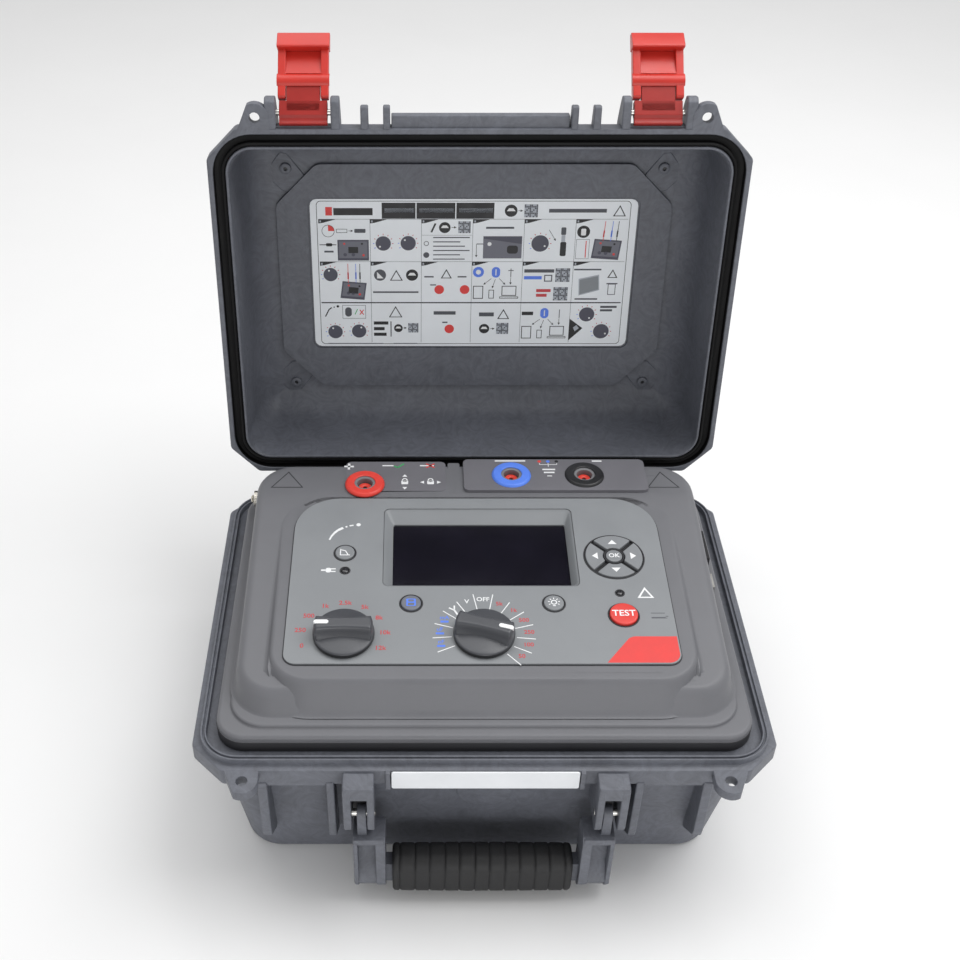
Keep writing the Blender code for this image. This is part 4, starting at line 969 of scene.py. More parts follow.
def overlay_print():
    """The flash in the front corner and the small symbols beside the keys."""
    low, right = OVERLAY_Y[0] + 0.8, OVERLAY_X[1] - 0.8
    flash = [(76.0, low), (right - 7.4, low)] + arc((right - 7.4, low + 7.4), 7.4, 275, 360, 10)
    flash += [(right, -55.6), (96.0, -55.6)]
    flash += [(96.0 - 4.6 * t, -55.6 - 1.7 * t * t) for t in (0.33, 0.66, 1.0)]
    printed("corner_flash", [([flash], INK_RED)])
    arm = [(-100.4, 29.6), (-99.2, 33.0), (-97.3, 36.2), (-94.9, 38.8), (-91.6, 41.0)]
    curve = strokes(INK_WHITE, *[(*a, *b, 1.2 + 0.25 * i) for i, (a, b) in enumerate(zip(arm, arm[1:]))])
    curve += [([arc((-89.4, 42.0), 0.75, 0, 340, 17)], INK_WHITE)]
    curve += strokes(INK_WHITE, (-87.3, 42.9, -84.6, 43.5, 1.1))
    printed("curve_mark", curve + [([arc((-81.2, 44.0), 1.5, 0, 340, 17)], INK_WHITE)])
    pins = strokes(INK_WHITE, (-98.2, 2.6, -95.0, 2.6, 0.9), (-98.2, 0.2, -95.0, 0.2, 0.9),
                   (-104.6, 1.4, -101.4, 1.4, 1.3))
    printed("plug_mark", [([loop((-101.6, -98.0), (-0.7, 3.5), 1.4)], INK_WHITE)] + pins)
    triangle = [[(101.2, -23.2), (112.0, -23.2), (106.7, -13.8)],
                [(103.1, -22.2), (110.1, -22.2), (106.7, -16.0)]]
    printed("triangle_mark", [(triangle, INK_WHITE)])
    printed("cell_mark", strokes(INK_GREY, (108.0, -36.2, 117.0, -36.2, 0.5),
                                 (108.0, -39.8, 117.0, -39.8, 0.5),
                                 (117.0, -38.9, 118.8, -38.9, 0.5), (108.0, -40.4, 118.0, -40.4, 0.45)))


def key_print():
    """Small symbols on the round keys, each riding on its own key."""
    x, y = on_plane("button_ramp_press")
    ramp = strokes(INK_WHITE, *[(x + x0, y + y0, x + x1, y + y1, 0.7) for x0, y0, x1, y1 in (
        (-3.2, -2.8, 3.4, -2.8), (-3.0, -3.0, -3.0, 2.8), (-3.0, 2.0, 0.2, 1.2), (0.2, 1.2, 2.2, -2.6))])
    printed("ramp_icon", ramp, KEY_TOP, PLANE, "button_ramp")
    x, y = on_plane("button_save_press")
    disk = [loop((x - 3.1, x + 3.1), (y - 3.1, y + 3.1), 0.6),
            loop((x - 1.8, x + 1.8), (y + 0.6, y + 2.4), 0.3),
            loop((x - 2.0, x + 2.0), (y - 2.5, y - 0.5), 0.3)]
    printed("save_icon", [(disk, INK_BLUE)], KEY_TOP, PLANE, "button_save")
    x, y = on_plane("button_backlight_press")
    lamp = [(ring_outline((x, y), 2.0, 1.35, 24), INK_WHITE)]
    lamp += [([spoke((x, y), angle, 2.7, 3.9, 0.6)], INK_WHITE) for angle in range(-30, 211, 40)]
    lamp += strokes(INK_WHITE, (x - 0.9, y - 2.9, x + 0.9, y - 2.9, 0.7))
    printed("lamp_icon", lamp, KEY_TOP, PLANE, "button_backlight")
    words("start_word", "TEST", on_plane("button_test_press"), 5.0, INK_WHITE, 2.0, PLANE, "button_test")
    words("centre_word", "OK", NAV, 3.6, INK_WHITE, 1.4, PLANE, "key_ok")
    for word, (ux, uy) in {"up": (0, 1), "down": (0, -1), "left": (-1, 0), "right": (1, 0)}.items():
        cx, cy = NAV[0] + ux * 12.4, NAV[1] + uy * 12.4
        tip = [(cx + ux * 2.3, cy + uy * 2.3), (cx - ux * 1.5 - uy * 3.0, cy - uy * 1.5 + ux * 3.0),
               (cx - ux * 1.5 + uy * 3.0, cy - uy * 1.5 - ux * 3.0)]
        printed("arrow_" + word, [([tip], INK_WHITE)], KEY_TOP, PLANE, "key_" + word)


# ---------------------------------------------------------------- controls
def build_round_keys():
    """The four round keys, and a near-black ring round each as painted shade of the gap round the key."""
    tops = {"button_test_press": (2.0, TEST_RED, "red_plastic"),
            "button_save_press": (KEY_TOP, SAVE_BLUE, "blue_plastic"),
            "button_backlight_press": (KEY_TOP, KEY, "grey_plastic"),
            "button_ramp_press": (KEY_TOP, KEY, "grey_plastic")}
    for joint, radius in ROUND_KEYS.items():
        height, material, slot = tops[joint]
        body = joint.replace("_press", "")
        x, y = on_plane(joint)
        profile = [(0, height - 0.06), (radius * 0.5, height - 0.02), (radius - 1.1, height),
                   (radius - 0.45, height - 0.14),
                   (radius - 0.1, height - 0.5), (radius, height - 0.9), (radius, -5.2), (radius + 1.1,
                           -5.2), (radius + 1.1, KEY_FOOT), (0, KEY_FOOT)]
        assemble(body + "_cap", [(lathe("cap", profile, 64, (x, y, 0)), material)], body, [body], PLANE)
        # painted shade: a near-black ring round the key for the shade in its gap
        profile = [(radius + 0.35, 0.0), (radius + 0.5, 0.35), (radius + 0.9, 0.4), (radius + 1.25, 0.12),
                   (radius + 1.3, -0.2), (radius + 0.35, -0.9)]
        rim = lathe("gap_shade_ring", profile, 64, (x, y, 0))
        assemble(body + "_bezel", [(rim, SHADE_AND_MARK_DARK)], "base", [], PLANE)


def build_nav():
    """The centre key, the four keys round it, and near-black rings round the pad and the centre key as
    painted shade of the gaps.
    """
    x, y = NAV
    profile = [(0, 1.34), (3.0, 1.38), (4.6, 1.4), (5.2, 1.2), (5.5, 0.7), (5.5, KEY_FOOT), (0, KEY_FOOT)]
    assemble("ok_cap", [(lathe("ok", profile, 48, (x, y, 0)), KEY)], "key_ok", ["key_ok"],
             PLANE)
    for word, angle in {"right": 0, "up": 90, "left": 180, "down": 270}.items():
        outer = arc((x, y), 19.0, angle - 40.5, angle + 40.5, 18)
        inner = arc((x, y), 7.4, angle + 33.0, angle - 33.0, 10)
        item = prism("key", [outer + inner], KEY_FOOT, KEY_TOP, 0.7, 3)
        assemble("key_%s_cap" % word, [(item, KEY)], "key_" + word, ["key_" + word], PLANE)
    # painted shade: near-black rings in the gaps round the pad and round the centre key
    ring = lathe("nav_ring", [(19.5, 0.0), (19.65, 0.3), (20.0, 0.35), (20.4, 0.1), (20.5, -0.2),
                              (19.5, -0.9)], 72, (x, y, 0))
    collar = lathe("ok_ring", [(5.9, 0.35), (6.1, 0.7), (6.6, 0.75), (6.95, 0.3), (6.95, -4.0), (5.9, -4.0)],
                   48, (x, y, 0))
    assemble("nav_bezel", [(ring, SHADE_AND_MARK_DARK), (collar, SHADE_AND_MARK_DARK)], "base", [], PLANE)


def build_knob(word):
    """A low disc under a finger ridge with scooped flanks and a pointer at its end."""
    x, y = on_plane("knob_turn_" + word)
    low, high = low_high("knob_pointer_" + word)
    tip = PLANE_BACK @ ((low + high) / 2 * MM) / MM
    turn = Matrix.Rotation(math.atan2(tip.y - y, tip.x - x), 4, "Z")
    place = PLANE @ Matrix.Translation((x * MM, y * MM, 0)) @ turn
    disc = lathe("disc", [(0, 5.9), (6.0, 5.7), (12.0, 5.0), (16.0, 4.35), (18.0, 3.95), (18.9, 3.6),
                          (19.25, 3.1),
                          (19.35, 2.4), (19.35, 0.9), (19.1, 0.5), (0, 0.5)], 112)
    rings = []
    for height, half_width, reach in ((2.4, 8.6, 18.9), (4.0, 8.4, 18.8), (5.5, 7.6, 18.75),
                                      (7.5, 6.8, 18.7), (9.5, 6.3, 18.6),
                                      (11.2, 5.9, 18.3), (12.2, 5.4, 17.9), (12.75, 4.6, 17.3),
                                      (13.0, 3.2, 16.4)):
        half = []
        for i in range(33):
            along = reach * math.sin((-1 + 2 * i / 32) * math.pi / 2)
            swell = half_width * (0.80 + 0.20 * (along / reach) ** 2)
            half.append((along, min(swell, math.sqrt(max(reach ** 2 - along ** 2, 0.0)))))
        rings.append([(a, -w, height) for a, w in half] + [(a, w, height) for a, w in reversed(half)][1:-1])
    ridge = skin("ridge", rings)
    rim = lathe("rim", [(19.4, 2.9), (19.4, 0.8), (19.2, 0.45), (17.0, 0.4), (17.0, 2.9)], 112)
    parts = [(disc, KNOB), (ridge, KNOB), (rim, BLACK)]
    assemble("knob_%s_cap" % word, parts, "range_knob_" + word, ["knob_" + word], place,
             angle=50)
    outline = loop((9.0, 18.45), (-1.65, 1.65), 1.6)
    pointer = prism("pointer", [outline], 9.0, 13.25, 0.45, 3)
    assemble("knob_%s_mark" % word, [(pointer, WHITE)], "range_knob_" + word, ["knob_pointer_" + word],
             place)


def build_leds():
    """The two dark indicator lenses and their rings."""
    for (x, y, radius), word in zip(LEDS, ("left", "right")):
        profile = [(0, 0.65), (radius * 0.5, 0.55), (radius * 0.85, 0.2), (radius, -0.4), (radius, -6.9),
                   (0, -6.9)]
        lens = lathe("lens", profile, 32, (x, y, 0))
        profile = [(radius + 0.25, 0.0), (radius + 0.4, 0.3), (radius + 0.9, 0.3), (radius + 1.1, 0.0),
                   (radius + 0.25, -0.5)]
        ring = lathe("ring", profile, 32, (x, y, 0))
        assemble("indicator_" + word, [(lens, LENS)], "base", ["led_lens_" + word], PLANE)
        assemble("indicator_ring_" + word, [(ring, SHADE_AND_MARK_DARK)], "base", [], PLANE)


COLLAR_RISE = 3.2            # of a terminal's collar above the deck


def build_terminals():
    """Each terminal: a coloured collar, a grey sleeve and a spring shutter, with a black disc in the
    shutter's hole as painted shade down the hole.
    """
    spots = {"red": (RING_RED, "red_plastic"), "blue": (RING_BLUE, "blue_plastic"),
             "black": (BLACK, "black_plastic")}
    for word, (material, slot) in spots.items():
        low, high = low_high("terminal_collar_" + word)
        x, y = (low.x + high.x) / 2, (low.y + high.y) / 2
        top = high.z - COLLAR_RISE
        profile = [(9.0, -11.9), (9.0, 2.3), (7.3, 2.3), (7.3, 2.8), (7.9, 3.2), (12.6, 3.2), (14.0, 1.8),
                   (14.0, 0.3),
                   (11.0, 0.3), (11.0, -11.9)]
        collar = lathe("collar", rounded_profile(profile, 0.7), 96, (x, y, top))
        assemble("collar_" + word, [(collar, material)], "base", ["terminal_collar_" + word])
        profile = [(5.3, -20.0), (5.3, 1.2), (5.6, 1.9), (6.2, 2.2), (8.0, 2.2), (8.5, 1.9), (8.6, 1.4),
                   (8.6, -23.9),
                   (0, -23.9), (0, -20.0)]
        socket = lathe("sleeve", profile, 72, (x, y, top))
        assemble("sleeve_" + word, [(socket, SLEEVE)], "base", ["terminal_socket_" + word])
        profile = [(1.5, -5.3), (1.5, -2.2), (1.9, -1.7), (2.6, -1.45), (4.2, -1.45), (4.75, -1.9),
                   (4.75, -5.3)]
        shutter = lathe("shutter", profile, 56, (x, y, top))
        # painted shade: a black disc just under the shutter's hole
        core = lathe("core", [(0, -2.6), (1.49, -2.6)], 24, (x, y, top))
        assemble("gate_" + word, [(shutter, SHUTTER), (core, BLACK)], "shutter_" + word,
                 ["terminal_shutter_" + word])


def deck_print():
    """Marks beside the terminals: signs, locks, and bars where the case has words."""
    def marked(name, pieces, height=DECK_TOP + BLOCK_RISE):
        printed(name, pieces, height, Matrix.Identity(4))

    left = DECK_TOP + 0.25
    marked("plus_mark", strokes(INK_WHITE, (-93.5, 106.0, -86.5, 106.0, 1.7),
                                (-90.0, 102.6, -90.0, 109.4, 1.7)),
           left + 0.01)
    marked("minus_mark", strokes(INK_WHITE, (85.0, 109.6, 92.0, 109.6, 1.4)))
    tick = strokes(INK_WHITE, (-66.0, 107.0, -58.0, 107.0, 1.2))
    tick += strokes(INK_GREEN, (-57.5, 106.6, -55.0, 104.6, 1.1), (-55.2, 104.6, -50.5, 109.2, 1.1))
    tick += strokes(INK_WHITE, (-39.0, 107.0, -29.0, 107.0, 1.2))
    tick += strokes(INK_RED, (-34.5, 104.8, -28.5, 109.2, 1.1), (-34.5, 109.2, -28.5, 104.8, 1.1))
    marked("lead_marks", tick, left)
    for x, name in ((-49.8, "up"), (-31.5, "across")):
        lock = [([loop((x - 2.4, x + 2.4), (86.0, 90.0), 0.6)], INK_WHITE),
                (ring_outline((x, 90.6), 2.0, 1.2, 24), INK_WHITE)]
        for sign in (1, -1):
            if name == "across":
                tip = [(x + sign * 7.4, 88.2), (x + sign * 4.6, 89.8), (x + sign * 4.6, 86.6)]
            else:
                tip = [(x, 88.6 + sign * 8.4), (x - 1.7, 88.6 + sign * 5.8), (x + 1.7, 88.6 + sign * 5.8)]
            lock.append(([tip], INK_WHITE))
        marked("lock_mark_" + name, lock, left)
    dots = [([arc((x, 109.2), 1.35, 0, 345, 23)], ink)
            for x, ink in ((47.0, INK_RED), (53.2, INK_BLUE), (59.4, INK_BLACK))]
    dots += strokes(INK_WHITE, (47.0, 105.6, 59.4, 105.6, 0.5), (53.2, 107.2, 53.2, 103.2, 0.5),
                    (47.0, 107.2, 47.0, 105.6, 0.5), (59.4, 107.2, 59.4, 105.6, 0.5),
                    (48.6, 100.0, 57.8, 100.0, 1.5), (49.4, 96.6, 57.0, 96.6, 1.5),
                    (51.5, 92.6, 55.0, 92.6, 0.8))
    marked("wiring_marks", dots)
    marked("centre_mark", strokes(INK_WHITE, (15.0, 109.8, 37.0, 109.8, 1.4)))


# ---------------------------------------------------------------- instruction label
LABEL_MID = (LABEL_Y[0] + LABEL_Y[1]) / 2
LABEL_PLANE = (SWING @ Matrix.Translation((0, LABEL_MID * MM, LABEL_FACE * MM)) @
               Matrix.Rotation(math.pi, 4, "X"))
COLUMN, ROW = 37.5, 32.8     # size of one cell of the label's grid
GRID_LEFT, GRID_TOP = -112.8, 43.2


class Sheet:
    """Collects flat shapes in a cell's own millimetres, x to the right and y downwards."""

    def __init__(self):
        self.shapes = []
        self.left, self.top = GRID_LEFT, GRID_TOP

    def cell(self, column, row):
        self.left, self.top = GRID_LEFT + column * COLUMN, GRID_TOP - row * ROW
        return self

    def put(self, outlines, ink=INK_BLACK, layer=1):
        moved = [[(self.left + x, self.top - y) for x, y in outline] for outline in outlines]
        self.shapes.append((moved, ink, layer))

    def box(self, x0, y0, x1, y1, ink=INK_BLACK, layer=1, radius=0.0, line=0.0):
        outlines = [loop((x0, x1), (y0, y1), radius) if radius else rectangle(x0, y0, x1, y1)]
        if line:
            outlines.append(rectangle(x0 + line, y0 + line, x1 - line, y1 - line))
        self.put(outlines, ink, layer)

    def disc(self, x, y, radius, ink=INK_BLACK, layer=1, line=0.0):
        self.put(ring_outline((x, y), radius, radius - line,
                              28) if line else [arc((x, y), radius, 0, 348, 29)], ink, layer)

    def line(self, start, end, width, ink=INK_BLACK, layer=1):
        self.put([bar(start, end, width)], ink, layer)

    def arrow(self, start, end):
        way = (Vector(end) - Vector(start)).normalized()
        side = Vector((-way.y, way.x))
        neck = Vector(end) - way * 1.8
        self.line(start, tuple(neck), 0.35)
        self.put([[tuple(Vector(end)), tuple(neck + side * 0.9), tuple(neck - side * 0.9)]])

    def triangle(self, x, y0, y1):
        half = (y1 - y0) * 0.56
        self.put([[(x, y0), (x + half, y1), (x - half, y1)],
                  [(x, y0 + 1.4), (x + half - 1.2, y1 - 0.6), (x - half + 1.2, y1 - 0.6)]],
                 INK_BLACK)

    def knob(self, x, y, radius, angle):
        """A round switch with its marks and its pointer."""
        for i in range(9):
            near, far = [polar((x, y), -30 + 30 * i, radius + gap, -radius - gap) for gap in (0.9, 1.9)]
            self.line(near, far, 0.5, INK_BLUE if i > 6 else INK_DULL_RED)
        self.disc(x, y, radius, INK_SLATE)
        self.disc(*polar((x, y), angle, radius * 0.62, -radius * 0.62), 0.7, INK_WHITE, 2)

    def text(self, x0, x1, top, height=0.8, ink=INK_TYPE, count=1, pitch=1.0):
        """Bars that stand for lines of text."""
        for i in range(count):
            end = x1 - (x1 - x0) * 0.13 * ((i * 2) % 3)
            self.box(x0, top + i * pitch, end, top + i * pitch + height, ink)

    def hatch(self, x0, y0, size, count=8):
        """A square of plain dots in rows, no code."""
        self.box(x0, y0, x0 + size, y0 + size, INK_PALE)
        pitch = size / count
        inset = pitch * 0.08
        for i in range(count):
            for j in range(count):
                if (i * 3 + j * 5 + i * j) % 4 < 2:
                    x, y = x0 + i * pitch, y0 + j * pitch
                    self.put([rectangle(x + inset, y + inset, x + pitch - inset, y + pitch - inset)],
                             INK_TYPE, 2)

    def guide(self, x, y, radius):
        """A black disc with a white open booklet."""
        self.disc(x, y, radius)
        half = radius * 0.68
        self.put([[(x - half, y + half * 0.1), (x - half * 0.5, y - half * 0.6),
                   (x + half * 0.5, y - half * 0.6),
                   (x + half, y + half * 0.1)]], INK_WHITE, 2)

    def device(self, x0, y0, x1, y1, lean=0.0):
        """The instrument's panel in plan, with its screen, terminals and controls."""
        def at_lean(x, y):
            return x + lean * (y1 - y), y + lean * (x - x0) * 0.6
        for inset, ink, layer in ((0.0, INK_SLATE, 1), (1.1, INK_STONE, 2)):
            corners = rectangle(x0 + inset, y0 + inset, x1 - inset, y1 - inset * 1.8)
            self.put([[at_lean(x, y) for x, y in corners]], ink, layer)
        mid_x, mid_y = (x0 + x1) / 2, (y0 + y1) / 2
        screen = rectangle(mid_x - 3.6, mid_y - 2.6, mid_x + 3.6, mid_y + 2.2)
        self.put([[at_lean(x, y) for x, y in screen]], INK_BLACK, 3)
        for x, y, radius, ink in ((x0 + 5.0, y0 + 3.0, 0.8, INK_RED), (x1 - 5.0, y0 + 3.0, 0.8, INK_BLACK),
                                  (x1 - 4.0, y1 - 4.2, 0.9, INK_RED), (x0 + 5.5, y1 - 4.6, 1.3,
                                          INK_SLATE), (mid_x, y1 - 4.6, 1.3, INK_SLATE)):
            self.disc(*at_lean(x, y), radius, ink, 3)

    def link_up(self, d):
        """A blue tag and a cable end with arrows to a tablet, a telephone and a laptop, in outline."""
        self.box(14.8 + d, 4.2 + d, 21.0 + d, 12.6 + d, INK_BLUE, radius=3.0)
        self.line((17.9 + d, 6.0 + d), (17.9 + d, 10.8 + d), 0.8, INK_WHITE, 2)
        self.line((29.0 + 2 * d, 5.4 + d), (29.0 + 2 * d, 12.4 + d), 0.6, INK_TYPE)
        for x, y, end in ((14.6 + d, 13.4, (8.8 + d, 18.2)), (17.6 + d, 14.0, (15.4 + d, 21.2)),
                          (20.6 + d, 13.4, (25.2 + d, 18.4)), (29.0 + 2 * d, 12.8, (29.0 + 2 * d, 18.2))):
            self.arrow((x, y + d), end)
        self.box(1.2, 19.2, 8.8, 29.6, line=0.6)
        self.box(12.9, 22.4, 16.9, 29.4, line=0.5)
        self.box(22.6, 19.2, 33.6, 27.2, line=0.6)
        self.box(21.0, 27.8, 35.2, 29.4, line=0.45)

    def leads(self, places, lean, top, probe):
        """Three test leads, each with a thicker probe."""
        for x, ink in zip(places, (INK_RED, INK_BLUE, INK_BLACK)):
            self.line((x + lean, top), (x, 16.6), 0.4, ink, 4)
            self.line((x + lean * 0.5, probe), (x + lean * 0.1, 13.6), 1.0, ink, 4)


def label_top_row(sheet):
    """Connecting up, choosing a range and the first readings."""
    c = sheet.cell(0, 0)
    c.disc(6.9, 9.0, 4.7, line=0.35)
    c.put([[(6.9, 9.0)] + [(x, 18.0 - y) for x, y in arc((6.9, 9.0), 4.5, 0, 90, 8)]], INK_RED)
    c.box(12.8, 7.4, 20.8, 10.4, line=0.35)
    c.arrow((21.8, 8.9), (25.2, 8.9))
    c.box(26.0, 7.4, 34.2, 10.4, INK_TYPE, radius=0.6)
    c.line((0.3, 19.6), (12.6, 19.6), 0.6)
    c.box(5.0, 18.4, 9.6, 20.8, radius=0.9)
    c.text(3.6, 10.4, 24.2, 1.4)
    c.device(13.4, 15.8, 36.4, 31.9)
    c = sheet.cell(1, 0)
    c.knob(9.5, 18.6, 5.6, 225)
    c.knob(27.8, 18.4, 5.6, 135)
    c = sheet.cell(2, 0)
    c.line((7.2, 10.0), (10.2, 3.2), 1.3)
    c.guide(17.0, 6.4, 4.2)
    c.arrow((21.8, 6.2), (25.6, 6.2))
    c.hatch(26.8, 1.6, 9.0)
    c.line((0.4, 12.2), (36.8, 12.2), 0.2, INK_TYPE)
    c.text(8.6, 35.4, 13.6, count=6, pitch=3.35)
    c.disc(3.6, 18.6, 1.9, INK_TYPE, line=0.5)
    c.disc(3.6, 27.6, 2.2, INK_TYPE)
    c = sheet.cell(3, 0)
    c.text(9.6, 30.0, 5.8, 1.5)
    c.box(7.8, 13.0, 36.2, 30.2, INK_SLATE)
    c.put([[(7.8, 14.8), (36.2, 19.0), (36.2, 30.2), (7.8, 30.2)]], INK_STONE, 2)
    c.box(25.4, 20.2, 33.4, 26.4, INK_BLACK, 3, radius=2.0)
    c.disc(12.4, 19.0, 1.5, INK_WHITE, 3)
    c.line((7.8, 19.0), (2.9, 19.0), 0.6)
    c.arrow((2.9, 19.0), (2.9, 29.4))
    c = sheet.cell(4, 0)
    c.knob(12.0, 18.6, 6.4, -30)
    c.box(27.0, 6.2, 30.6, 12.0, INK_TYPE, radius=0.8)
    c.box(26.8, 17.4, 31.2, 28.4, radius=1.2)
    c.box(27.4, 12.2, 30.2, 17.2, INK_PALE)
    c.arrow((18.2, 8.2), (23.4, 16.6))
    c = sheet.cell(5, 0)
    c.disc(5.8, 9.6, 4.7)
    c.box(4.0, 7.2, 7.6, 12.4, INK_WHITE, 2, radius=0.8)
    c.box(0.9, 15.4, 10.7, 30.6, INK_TYPE, line=0.25)
    c.line((8.2, 16.6), (8.2, 29.6), 0.7, INK_RED)
    c.device(12.4, 15.0, 32.6, 30.0, 0.12)
    c.leads((20.4, 26.0, 30.2), 1.0, 1.4, 8.6)


def label_middle_row(sheet):
    """Switch settings, warnings, wireless link and disposal."""
    c = sheet.cell(0, 1)
    c.knob(7.6, 10.2, 5.3, 110)
    c.device(14.4, 15.4, 32.4, 29.0, 0.14)
    c.leads((20.6, 26.4, 29.4), 0.0, 1.6, 8.4)
    c = sheet.cell(1, 1)
    c.disc(6.8, 10.6, 4.5, INK_TYPE)
    c.put([[(4.6, 8.0), (4.6, 13.2), (9.4, 13.2)]], INK_WHITE, 2)
    c.triangle(18.9, 6.4, 15.0)
    c.guide(30.6, 10.6, 4.5)
    c.text(1.4, 35.4, 23.6, 1.3)
    c = sheet.cell(2, 1)
    c.triangle(18.6, 5.8, 13.2)
    c.text(2.2, 9.2, 11.4, 1.1)
    c.text(27.0, 33.6, 11.4, 1.1)
    for x in (13.4, 32.4):
        c.disc(x, 22.2, 3.6, INK_RED)
    c.text(6.6, 11.0, 18.0, 0.9)
    c = sheet.cell(3, 1)
    c.disc(4.9, 8.2, 4.1, INK_BLUE)
    c.disc(4.9, 8.2, 1.9, INK_WHITE, 2)
    c.link_up(0.0)
    c.line((27.0, 7.0), (31.0, 7.0), 0.6, INK_TYPE)
    c = sheet.cell(4, 1)
    c.text(1.4, 23.6, 6.0, 2.6, INK_TYPE)
    c.text(1.4, 14.6, 11.4, 2.6, INK_BLUE)
    c.box(16.4, 10.4, 22.4, 15.8, INK_TYPE, line=0.8)
    c.hatch(24.6, 5.2, 10.8, 9)
    c.text(11.0, 21.8, 21.8, 2.4, INK_DULL_RED, count=2, pitch=3.8)
    c.hatch(23.8, 20.2, 10.8, 9)
    c = sheet.cell(5, 1)
    c.text(0.8, 21.0, 5.6, 1.2)
    c.put([[(4.6, 13.6), (19.6, 10.2), (20.6, 22.6), (5.4, 27.0)]], INK_PALE)
    c.put([[(5.4, 14.4), (19.0, 11.4), (19.8, 22.0), (6.0, 26.0)]], INK_GREY_PALE, 2)
    c.triangle(29.6, 6.0, 12.8)
    c.box(26.8, 17.6, 32.6, 26.4, INK_TYPE, line=0.5)
    c.line((25.6, 17.4), (33.8, 17.4), 0.9, INK_TYPE)
    c.text(2.6, 19.6, 29.2, 1.2)


def label_bottom_row(sheet):
    """The curve test, the second wireless link and storage."""
    c = sheet.cell(0, 2)
    c.line((2.6, 11.4), (5.6, 5.4), 0.9)
    c.line((5.4, 5.6), (7.6, 4.0), 0.9)
    c.disc(9.4, 3.6, 0.5)
    c.disc(12.2, 3.0, 1.0)
    c.box(15.6, 2.0, 33.2, 13.0, INK_TYPE, line=0.3)
    c.box(17.6, 3.8, 22.6, 11.4, INK_TYPE, radius=2.4)
    c.line((25.0, 9.6), (27.0, 5.2), 0.6, INK_GREEN)
    c.line((28.6, 9.8), (31.6, 5.8), 0.7, INK_RED)
    c.line((28.6, 5.8), (31.6, 9.8), 0.7, INK_RED)
    c.knob(9.8, 24.0, 5.5, 120)
    c.knob(27.8, 23.4, 5.5, 60)
    c = sheet.cell(1, 2)
    c.triangle(18.2, 2.8, 12.0)
    c.text(1.6, 12.6, 15.4, 2.6, INK_BLACK, count=3, pitch=4.7)
    c.line((14.6, 15.4), (14.6, 28.0), 0.8, INK_TYPE)
    c.guide(20.2, 21.0, 3.3)
    c.arrow((23.8, 20.8), (26.6, 20.8))
    c.hatch(27.6, 16.8, 7.8)
    c = sheet.cell(2, 2)
    c.text(9.4, 26.0, 7.0, 2.8)
    c.text(16.0, 20.0, 15.6, 1.1)
    c.disc(21.4, 21.6, 3.6, INK_RED)
    c = sheet.cell(3, 2)
    c.text(6.2, 17.4, 8.0, 3.2)
    c.triangle(24.6, 5.2, 13.4)
    c.guide(10.4, 21.4, 3.9)
    c.arrow((15.0, 21.4), (18.4, 21.4))
    c.hatch(19.6, 16.6, 9.2)
    c = sheet.cell(4, 2)
    c.text(1.0, 9.6, 7.4, 2.8, INK_BLACK)
    c.link_up(0.2)
    c = sheet.cell(5, 2)
    c.knob(12.6, 9.6, 5.8, -55)
    c.knob(24.4, 23.6, 6.0, -30)
    c.put([[(-0.2, 13.0), (10.2, 21.0), (-0.2, 31.4)]])
    c.put([[(3.0, 20.4), (5.4, 18.4), (7.4, 21.0), (4.4, 23.6)]], INK_PALE, 2)
    c.text(22.4, 34.8, 2.6, 1.7, count=2, pitch=2.8)


def build_label():
    """The printed sheet in the lid: a headed grid of small generic pictures, with bars for its text."""
    sheet = Sheet()
    wide, deep = 6 * COLUMN, 3 * ROW
    c = sheet.cell(0, 0)
    c.left, c.top = 0.0, 0.0
    c.put([loop((-113.6, 113.2), (-56.6, 56.2), 3.0)], LABEL, 0)
    c.put([loop((-114.0, 113.6), (-57.0, 56.6), 3.2), loop((-113.6, 113.2), (-56.6, 56.2), 2.9)], INK_BLACK,
          1)
    c = sheet.cell(0, 0)
    for x0, x1 in ((46.2, 70.6), (71.4, 99.4), (100.2, 127.6)):
        c.box(x0, -12.4, x1, -0.4)
        c.text(x0 + 2.0, x1 - 1.0, -8.2, 3.2, INK_PALE)
    c.box(5.4, -9.2, 10.2, -2.8, INK_RED)
    c.text(11.2, 39.6, -8.4, 5.4, INK_BLACK)
    c.guide(139.8, -6.4, 4.6)
    c.arrow((145.0, -6.4), (148.4, -6.4))
    c.hatch(149.4, -11.2, 9.8)
    c.text(167.2, 209.0, -7.8, 2.8, INK_TYPE)
    c.triangle(218.4, -10.6, -2.2)
    for row in range(3):
        c.line((0, row * ROW), (wide, row * ROW), 0.25 if row < 2 else 0.9,
               INK_TYPE if row < 2 else INK_BLACK)
    for column in range(1, 6):
        c.line((column * COLUMN, 0), (column * COLUMN, deep), 0.25, INK_TYPE)
    for row in range(2):
        for column in range(6):
            tab = sheet.cell(column, row)
            tab.put([[(0, 0.1), (12.6, 0.1), (3.2, 2.8), (0, 3.2)]], INK_BLACK)
            tab.box(0.9, 0.9, 2.0, 2.4, INK_PALE, 2)
    label_top_row(sheet)
    label_middle_row(sheet)
    label_bottom_row(sheet)
    c = sheet.cell(0, 0)
    c.text(4.0, 46.0, deep + 0.6, 0.8, INK_GREY_PALE)
    c.text(54.0, 72.0, deep + 0.6, 0.8, INK_GREY_PALE)
    by_ink = {}
    for outlines, ink, layer in sheet.shapes:
        by_ink.setdefault((layer, ink.name), (ink, []))[1].append(outlines)
    parts = []
    for (layer, _), (ink, drawings) in by_ink.items():
        top = 0.03 + 0.05 * layer
        parts += [(prism("ink", outlines, top - 0.05, top), ink) for outlines in drawings]
    assemble("label_print", parts, "lid", [], LABEL_PLANE)


# ---------------------------------------------------------------- handle, latches, small parts
GRIP_HALF, GROOVE_PITCH, GRIP_RINGS = 57.0, 9.5, 150


